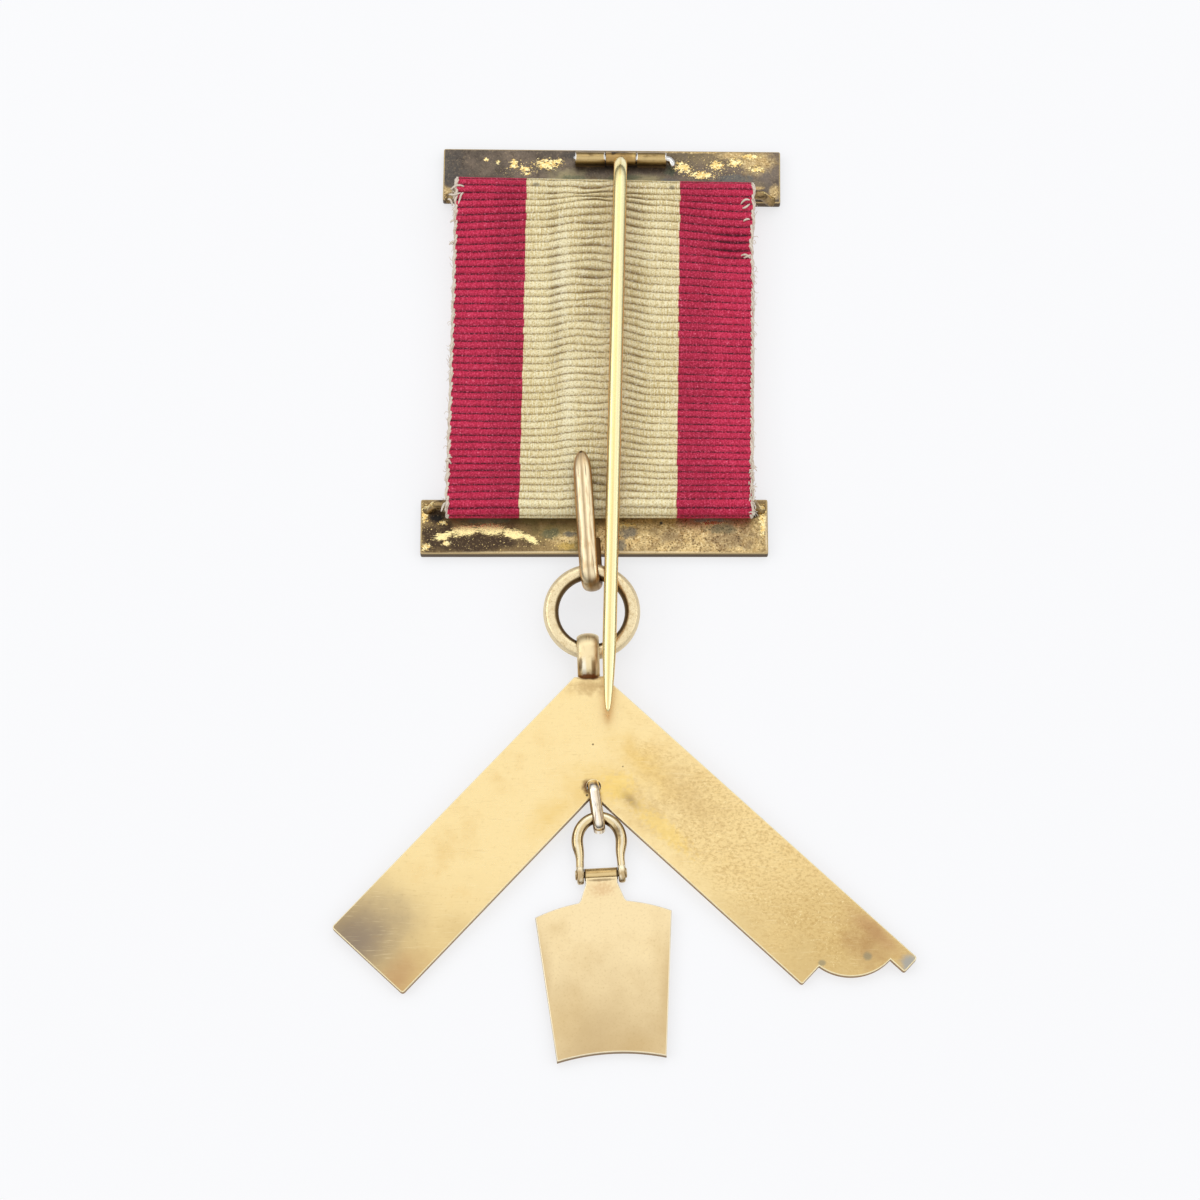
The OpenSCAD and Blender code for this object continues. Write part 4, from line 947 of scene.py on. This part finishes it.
def wall_middle(u):
    """The middle of the ribbon's wall at shares u of the half width, as rows by columns. The
    swell has a steep flank on the left and an easy one on the right, each a smooth step, and a
    bell curve between them takes a shallow hollow away."""
    x = LOW_SLIDE * RIBBON_PLAY / 2 * (1 - share) + (TOP_BAR[0] + TOP_SLIDE * RIBBON_PLAY / 2) * share \
        + u * RIBBON_W / 2
    top_y = TOP_FOLD_Y + (x - TOP_BAR[0]) * np.tan(np.radians(TOP_LEAN)) + 0.2 * (1 - u)
    bulge = smooth(x, flank - 0.95, flank + 0.95) * (1 - smooth(x, 3.1, 7.5)) - 0.16 * hill(x, -0.2, 1.9)
    return np.stack([x, LOW_FOLD_Y + (top_y - LOW_FOLD_Y) * share + step_y,
                     height + swell ** 0.8 * SWELL_H * bulge], 2)


def wavy(x, y, sizes, seed):
    """A smooth random height: sines along random directions, one for each size."""
    draw = np.random.default_rng(seed)
    total = 0.0
    for size in sizes:
        a, phase = draw.uniform(0, 2 * np.pi, 2)
        total = total + np.sin((x * np.cos(a) + y * np.sin(a)) * 2 * np.pi / size + phase)
    return total / len(sizes)


u = np.r_[-1, -0.992, -0.98, -0.965, np.linspace(-0.94, 0.94, 57), 0.965, 0.98, 0.992, 1]
middle = wall_middle(u)
spine = wall_middle(np.array([0.0]))[:, 0]
slope = np.roll(spine, -1, 0) - np.roll(spine, 1, 0)
ahead = unit(slope * [0, 1, 1])[:, None]
normal = ahead[..., [0, 2, 1]] * [0, 1, -1]
rib = np.arange(count)[:, None] / PER_RIB
x, y = middle[..., 0], middle[..., 1]
on_back = np.clip(normal[..., 2] * 1.5, 0, 1)
whole, part = np.arange(count) // PER_RIB, rib % 1


def drawn_up(x, y):
    """How far the weave of the back layer is drawn up the ribbon: the ribs rise to the swell's
    crest, most of all near the top, and fall away to the right. Each part is a smooth ramp across
    the ribbon, times an amount that changes along it."""
    levels = [2.0, 6.0, 20.0, 30.0, 36.0, 40.5, 43.2]
    total = 0.0
    for start, end, amounts in ((-18.6, -6.0, [0, 0.1, -0.1, 0.15, 0.5, 0.5, 0]),
                                (-6.6, -0.4, [0, 0.2, 0.44, 0.42, 0.6, 0.85, 0]),
                                (0.2, 8.2, [0, -0.35, -0.7, -0.65, -0.7, -0.66, 0]),
                                (8.0, 18.6, [0, -0.14, -0.2, -0.3, -0.45, -0.65, 0])):
        total = total + smooth(x, start, end) * np.interp(y, levels, amounts)
    return total


# Every groove wanders along the ribbon on its own, and a rib fills the room between two of them
phases = np.random.default_rng(11).uniform(0, 2 * np.pi, (RIBS, 4))
phases = np.sort(phases, 0)[np.random.default_rng(5).permutation(RIBS)] * [1, 1, 0.6, 0.6]
across_mm = (u * RIBBON_W / 2)[None]
wander = sum(far * np.sin(across_mm * 2 * np.pi / size + phases[:, k:k + 1])
             for k, (far, size) in enumerate(((0.05, 8.3), (0.04, 4.9), (0.02, 2.7))))
wander = wander * (0.35 + 1.1 * hill(across_mm, 0.6, 6.5))
shared = 0.09 * wavy(x, y, (15, 19, 12), 3)[::PER_RIB] \
    + 0.10 * (wavy(x, 2 * y, (5, 7), 4) * hill(across_mm, 0.6, 6.0))[::PER_RIB]
grooves = (wander + shared) * on_back[::PER_RIB]
drift = grooves[whole] * (1 - part) + np.roll(grooves, -1, 0)[whole] * part
middle = middle + ahead * (drift * loop_length / RIBS - drawn_up(x, y) * on_back)[..., None]
x, y = middle[..., 0], middle[..., 1]

# How deep each groove is cut: bold at the left and at the ends, faint in the middle of the right
# stripe, and pinched to dark folds beside the swell, under the pin and in the pucker
torn = np.random.default_rng(8).uniform(0.3, 1.3, (RIBS, 3))
torn = torn[(np.arange(count) + PER_RIB // 2) // PER_RIB % RIBS]
pinched = (1.5 * hill(x, flank + 0.2, 0.75) * torn[:, :1] * np.clip((y - 16) / 10, 0.1, 1)
           + 1.9 * hill(x, -0.3, 1.8) * torn[:, 1:2] * np.clip((y - 20) / 12, 0.25, 1)
           + 1.1 * hill(x, 4.9, 1.3) * torn[:, 2:] * np.clip((y - 2) / 12, 0.3, 1))
for amount, at_x, half_x, at_y, half_y in ((2.2, 0.6, 1.3, 42.2, 1.1), (1.4, 5.6, 1.6, 41.6, 1.5),
                                           (1.8, 0.5, 1.1, 4.6, 0.7), (1.0, 4.6, 2.0, 4.0, 0.6),
                                           (2.4, 16.9, 2.3, 36.3, 1.9)):
    pinched = pinched + amount * hill(x, at_x, half_x) * hill(y, at_y, half_y)
bold = (0.75 + 0.45 * np.clip((-7 - x) / 3, 0, 1) * np.clip((y - 24) / 10, 0.3, 1)
        + 0.3 * np.clip((x - 9) / 3, 0, 1) * np.clip((y - 37) / 3, -0.8, 1)
        + 0.35 * hill(y, 6, 5) + 0.25 * (torn[:, :1] - 0.8) + 0.15 * wavy(x, y, (4, 7), 5))
cut = np.clip(bold + pinched * 0.8, 0.35, 2.4)
crest = np.sin(np.pi * part) ** 0.72
pucker = hill(x, PUCKER_X, 3.2) * hill(y, PUCKER_Y, 2.3)
ripple = 0.12 * np.sin(y * 2 * np.pi / 1.9) - 0.12
outer = CLOTH_T / 2 - 0.2 * cut * (1 - crest) + on_back * pucker * ripple \
    + 0.03 * wavy(x, y, (6, 9, 4), 8) - 0.03
# fold_shade is painted shade: it goes on the mesh as the fold attribute, which darkens the silk's colour in
# the grooves and the pinched folds
fold_shade = (0.4 * np.clip(bold - 0.5, 0, 1) * (1 - crest) ** 1.1
              + 0.7 * np.clip(pinched, 0, 1.7) * (1 - crest) ** 0.75) * on_back
# The edges run in scallops of two ribs
scallop = np.abs(np.sin(np.pi * (rib / 2 + 0.25))) ** 0.7
edge_share = np.clip((np.abs(u) - 0.94) / 0.06, 0, 1)
skin = middle + normal * outer[..., None]
skin[..., 0] += np.sign(u) * edge_share * (0.28 * scallop - 0.42 - 0.4 * pucker
                                           + 0.08 * wavy(x, y, (3, 2.2), 9))
u_in = np.linspace(1, -1, 9)
thin = np.clip(np.minimum(share, 1 - share) / 0.12, 0, 1)
inside = wall_middle(u_in) + normal * (-CLOTH_T / 2 + 0.3 * thin)[..., None]
inside[..., 0] -= np.sign(u_in) * 0.62 * (np.abs(u_in) > 0.99)
ribbon = Piece("ribbon_woven")
ribbon.surface(np.concatenate([skin, inside], 1), along=True, length=np.arange(count + 1) / PER_RIB,
               across=np.r_[u, u_in, -1] * RIBBON_W / 2)


def silk():
    """Ribbed silk. The UV map gives millimetres across and the number of the rib."""
    made = Finish("ribbed_silk", (186, 28, 64), 0.5, 0.0)
    across, rib = made.u, made.v
    fold = made.node("Attribute", "Fac", {}, attribute_name="fold")
    whole = made.math("FLOOR", rib)
    each = made.node("TexWhiteNoise", "Value", {"W": whole}, noise_dimensions="1D")
    from_groove = made.math("SUBTRACT", made.math("PINGPONG", rib, 0.5), made.times(fold, 0.06))
    threads = made.noise_at(made.times(across, 4.6), whole)
    ticks = made.noise_at(made.times(across, 3.4), made.times(whole, 7.3), 1.0)
    wraps = made.math("SINE", made.times(across, 2 * np.pi / 0.27))
    fuzz = made.noise(0.2, 2.0, 0.7)
    cloud = made.step(made.noise(6.0, 3.0), 0.4, 0.65)

    olive = made.window(made.swayed(across, each, 0.08), -9.72, -9.62, 9.26, 9.36)
    crimson_tone, olive_tone = (
        made.mixed(made.step(threads, *light_threads), made.mixed(cloud, a, b), light)
        for light_threads, a, b, light in (((0.35, 0.7), (206, 34, 74), (190, 24, 62), (220, 54, 94)),
                                           ((0.42, 0.62), (245, 228, 174), (232, 211, 151), (255, 247, 208))))
    darker_tone_and_shade = made.mixed(olive, (120, 8, 38), (174, 150, 92))
    painted_crease_shade = made.mixed(olive, (52, 0, 14), (118, 90, 46))
    made.colour = made.mixed(olive, crimson_tone, olive_tone)
    # The lower side of each rib is darker by painted shade, and the ribs differ a little in tone
    made.over(made.math("FRACT", rib), 0.45, 0.98, 0.4, darker_tone_and_shade)
    made.lay(made.step(each, 0.0, 1.0, 0.0, 0.16), darker_tone_and_shade)
    # The crimson stripes are duller towards the middle
    from_middle = made.math("ABSOLUTE", across)
    made.over(from_middle, 14.2, 12.8, 0.24, darker_tone_and_shade, within=made.math("SUBTRACT", 1.0, olive))
    # Painted shade dulls the hollows beside the swell, and a painted highlight lightens its crest
    made.over(made.near([(-0.6, 34, 3.4, 13), (5.4, 30, 2.0, 16)], 0.5, 3.0), -0.2, 0.8, 0.08,
              (166, 144, 84), within=olive)
    made.over(made.near([(-4.0, 32, 1.3, 13), (-3.2, 14, 1.3, 12)], 0.4, 2.0), -0.1, 0.9, 0.5,
              (255, 248, 212), within=olive)
    # Painted shade in the grooves and pinched folds, from the fold attribute, and in dotted lines along every
    # groove
    made.lay(made.clamped(made.times(fold, 0.75)), painted_crease_shade)
    dotted_groove_shade = made.times(made.step(from_groove, 0.15, 0.045), made.step(ticks, 0.4, 0.54, 1.0, 0.3))
    made.lay(made.times(dotted_groove_shade, made.between(olive, 1.0, 0.75)), painted_crease_shade)
    made.over(fuzz, 0.5, 0.36, 0.55, darker_tone_and_shade)
    made.over(fuzz, 0.52, 0.66, 0.5, made.mixed(olive, (236, 96, 130), (255, 250, 226)))
    # Lint, two small spots and the selvedge
    made.over(made.noise(0.2, 1.0, 0.5), 0.765, 0.79, 0.5, (232, 190, 200))
    made.soft_patch([(-7.2, 43.9, 0.6, 0.35), (9.6, 43.5, 0.45, 0.4)], (96, 92, 78), None, None, 0.6, 0.4, 0.4)
    made.over(from_middle, 18.42, 18.5, 1.0, (226, 214, 196))
    made.relief(threads, 0.03).relief(made.math("MULTIPLY_ADD", wraps, 0.5, 0.5), 0.012)
    return made.close(**{"Specular IOR Level": 0.22})


woven = ribbon.finished(silk(), "jewel", "ribbon_weave", "ribbon")
# The painted shade of the grooves and folds, and none on the loop's inner face
shades = np.concatenate([fold_shade, 0 * inside[..., 0]], 1)
woven.data.attributes.new("fold", "FLOAT", "POINT").data.foreach_set("value", shades.ravel())

# Selvedge: two wavy threads along each edge, and short frayed ends that stand out of it
threads = Piece("ribbon_selvedge")
for side in (-1, 1):
    edge = wall_middle(np.array([side * 1.0]))[:, 0]
    edge_y = edge[:, 1]
    pull = 0.35 * hill(edge[:, 0], PUCKER_X, 3.2) * hill(edge_y, PUCKER_Y, 2.3)
    for k in (0, 1):
        phase = np.pi * (rib[:, 0] + 0.5 * k + 0.25)
        out = -0.22 + 0.14 * np.sin(phase) - pull + 0.06 * wavy(edge_y, 0 * edge_y, (1.7, 2.9, 5), 20 + k)
        line = edge + normal[:, 0] * (0.22 + 0.16 * np.cos(phase + k))[:, None]
        line[:, 0] += side * out
        threads.tube(line, normal[:, 0], oval(0.3, 0.26, 2, 6), along=True)
# Frayed ends anywhere along the loop, then more at the upper left and at the lower right
ANYWHERE, MORE = 70, 12
places = np.r_[chance.integers(0, count, ANYWHERE), chance.integers(4, 22, MORE),
               chance.integers(262, 292, MORE)]
sides = chance.choice([-1, 1], len(places))
sides[ANYWHERE:] = [-1] * MORE + [1] * MORE
t = np.linspace(0, 1, 9)[:, None]
for place, side in zip(places, sides):
    root = wall_middle(np.array([side * 0.985]))[place, 0] + normal[place, 0] * 0.3
    reach, bend_1, bend_2 = chance.uniform(0.35, 0.8), *chance.uniform(-0.5, 0.5, 2)
    line = root + t * [side * reach, 0, 0] + t ** 2 * [0, bend_1, 0.3 * bend_2] \
        + 0.15 * np.sin(t * 5 + bend_1 * 6) * [0, 1, 0.4]
    line[:, 2] = np.maximum(line[:, 2], 0.1)
    threads.tube(line, [0, 0, 1], oval(0.11, 0.11, 2, 5) * (1 - 0.5 * t[:, :, None]))
# Longer loose stitches: near the upper corners and in the tufts of the lower right edge. Each is
# from one place to another, with a bow.
TUFTS = 26
tufts = np.random.default_rng(21)
roots = np.c_[tufts.uniform(18.6, 19.2, TUFTS), tufts.uniform(0.6, 8.0, TUFTS)]
ends = roots + np.c_[tufts.uniform(-0.1, 0.75, TUFTS), tufts.uniform(-0.7, 0.7, TUFTS)]
stitches = [(-17.75, 43.2, -16.1, 43.6, 0.3), (-18.0, 42.7, -16.5, 42.9, -0.3),
            (-16.2, 42.9, -16.8, 41.4, 0.2), (-18.1, 42.0, -17.5, 41.2, 0.3),
            (-17.8, 39.1, -17.2, 39.3, 0.1), (-17.9, 36.3, -17.2, 36.6, 0.1),
            (18.1, 41.4, 19.2, 41.8, 0.2), (18.3, 40.8, 19.2, 41.4, -0.2), (18.4, 39.2, 19.2, 39.5, 0.1),
            (18.1, 34.8, 19.2, 34.5, 0.2), (18.4, 34.6, 19.3, 34.9, -0.1), (-17.2, 8.0, -18.0, 7.4, 0.3),
            (-17.3, 7.2, -18.0, 7.6, 0.2), (-17.9, 1.8, -18.4, 0.9, 0.2),
            *np.c_[roots, ends, np.full(TUFTS, 0.2)]]
# A stitch lies on the weave: each of its points takes the height of the nearest point there
back_layer = skin[on_back[:, 0] > 0.9].reshape(-1, 3)
back_layer = back_layer[np.abs(back_layer[:, 0]) > 15]
t = np.linspace(0, 1, 12)[:, None]
narrowed = 1 - 0.5 * np.abs(2 * t[:, :, None] - 1) ** 3
for x0, y0, x1, y1, bow in stitches:
    line = np.array([x0, y0, 0]) * (1 - t) + np.array([x1, y1, 0]) * t + np.sin(np.pi * t) * [0, bow, 0.15]
    nearest = np.argmin(((line[:, None, :2] - back_layer[:, :2]) ** 2).sum(-1), 1)
    line[:, 2] += softened(back_layer[nearest, 2:], 2)[:, 0] + 0.04
    thread_d = 0.26 if y0 > 20 or x0 < 0 else 0.15
    threads.tube(line, [0, 0.1, 1], oval(thread_d, thread_d, 2, 6) * narrowed)
cream = Finish("cream_selvedge", (226, 214, 198), 0.85, 0.0)
cream.over(cream.noise(0.5), 0.5, 0.7, 1.0, (198, 180, 160))
selvedge = threads.finished(cream.close(**{"Sheen Weight": 0.2}), "jewel", "ribbon_weave")

# ---------------------------------------------------------------- table, light and camera

bpy.ops.mesh.primitive_plane_add(size=6.0, location=(0, 0, -0.00002))
floor = bpy.context.object
floor.name = "table"
table_white = Finish("table_white", (150, 150, 153), 0.9, 0.0)
floor.data.materials.append(table_white.close(**{
    "Specular IOR Level": 0.1, "Emission Color": (0.99, 0.995, 1.0, 1.0), "Emission Strength": 0.66}))

# The room: dark at the table's height, and lighter up to white overhead
world = bpy.data.worlds.new("studio")
bpy.context.scene.world = world
world.use_nodes = True
tree = world.node_tree
sky = tree.nodes["Background"]
coords, parts, ramp = (tree.nodes.new("ShaderNode" + kind)
                       for kind in ("TexCoord", "SeparateXYZ", "ValToRGB"))
tree.links.new(coords.outputs["Generated"], parts.inputs[0])
tree.links.new(parts.outputs["Z"], ramp.inputs[0])
tree.links.new(ramp.outputs[0], sky.inputs[0])
stops = ramp.color_ramp.elements
stops[0].position, stops[0].color = 0.06, (0.10, 0.09, 0.08, 1)
stops[1].position, stops[1].color = 0.78, (1, 1, 1, 1)
for position, value in ((0.28, 0.3), (0.48, 0.85)):
    stops.new(position).color = (value, value, value, 1)
sky.inputs[1].default_value = 1.03

# Area lights that face the jewel: place and size in metres, and the light sent per solid angle
for name, place, size, strength in (("overhead", (0.0, 0.5, 0.8), (0.8, 0.3), 0.6),
                                    ("left_panel", (-0.75, 0.1, 0.6), (0.3, 0.8), 1.1),
                                    ("right_panel", (0.8, 0.0, 0.5), (0.25, 0.7), 0.8)):
    light = bpy.data.lights.new(name, "AREA")
    light.shape, light.size, light.size_y = "RECTANGLE", *size
    light.energy = strength * np.pi * size[0] * size[1]
    lamp = bpy.data.objects.new(name, light)
    lamp.location = place
    away = unit(np.array(place))
    side = unit(np.cross([0, 1, 0], away))
    axes = np.stack([side, np.cross(away, side), away], 1)
    lamp.rotation_mode = "QUATERNION"
    lamp.rotation_quaternion = Matrix(axes.tolist()).to_quaternion()
    bpy.context.scene.collection.objects.link(lamp)

camera = bpy.data.cameras.new("camera")
camera.sensor_fit, camera.sensor_width, camera.lens = "HORIZONTAL", 36.0, 122.01
camera.clip_start, camera.clip_end = 0.01, 20.0
view = bpy.data.objects.new("camera", camera)
spot, target = np.array([-2.824, -162.3, 462.7]) * MM, np.array([-2.824, -1.168, 0.0]) * MM
view.location = spot
view.rotation_euler = Vector(target - spot).to_track_quat("-Z", "Y").to_euler()
bpy.context.scene.collection.objects.link(view)
bpy.context.scene.camera = view
bpy.context.scene.view_settings.view_transform = "Standard"
bpy.context.scene.view_settings.look = "None"
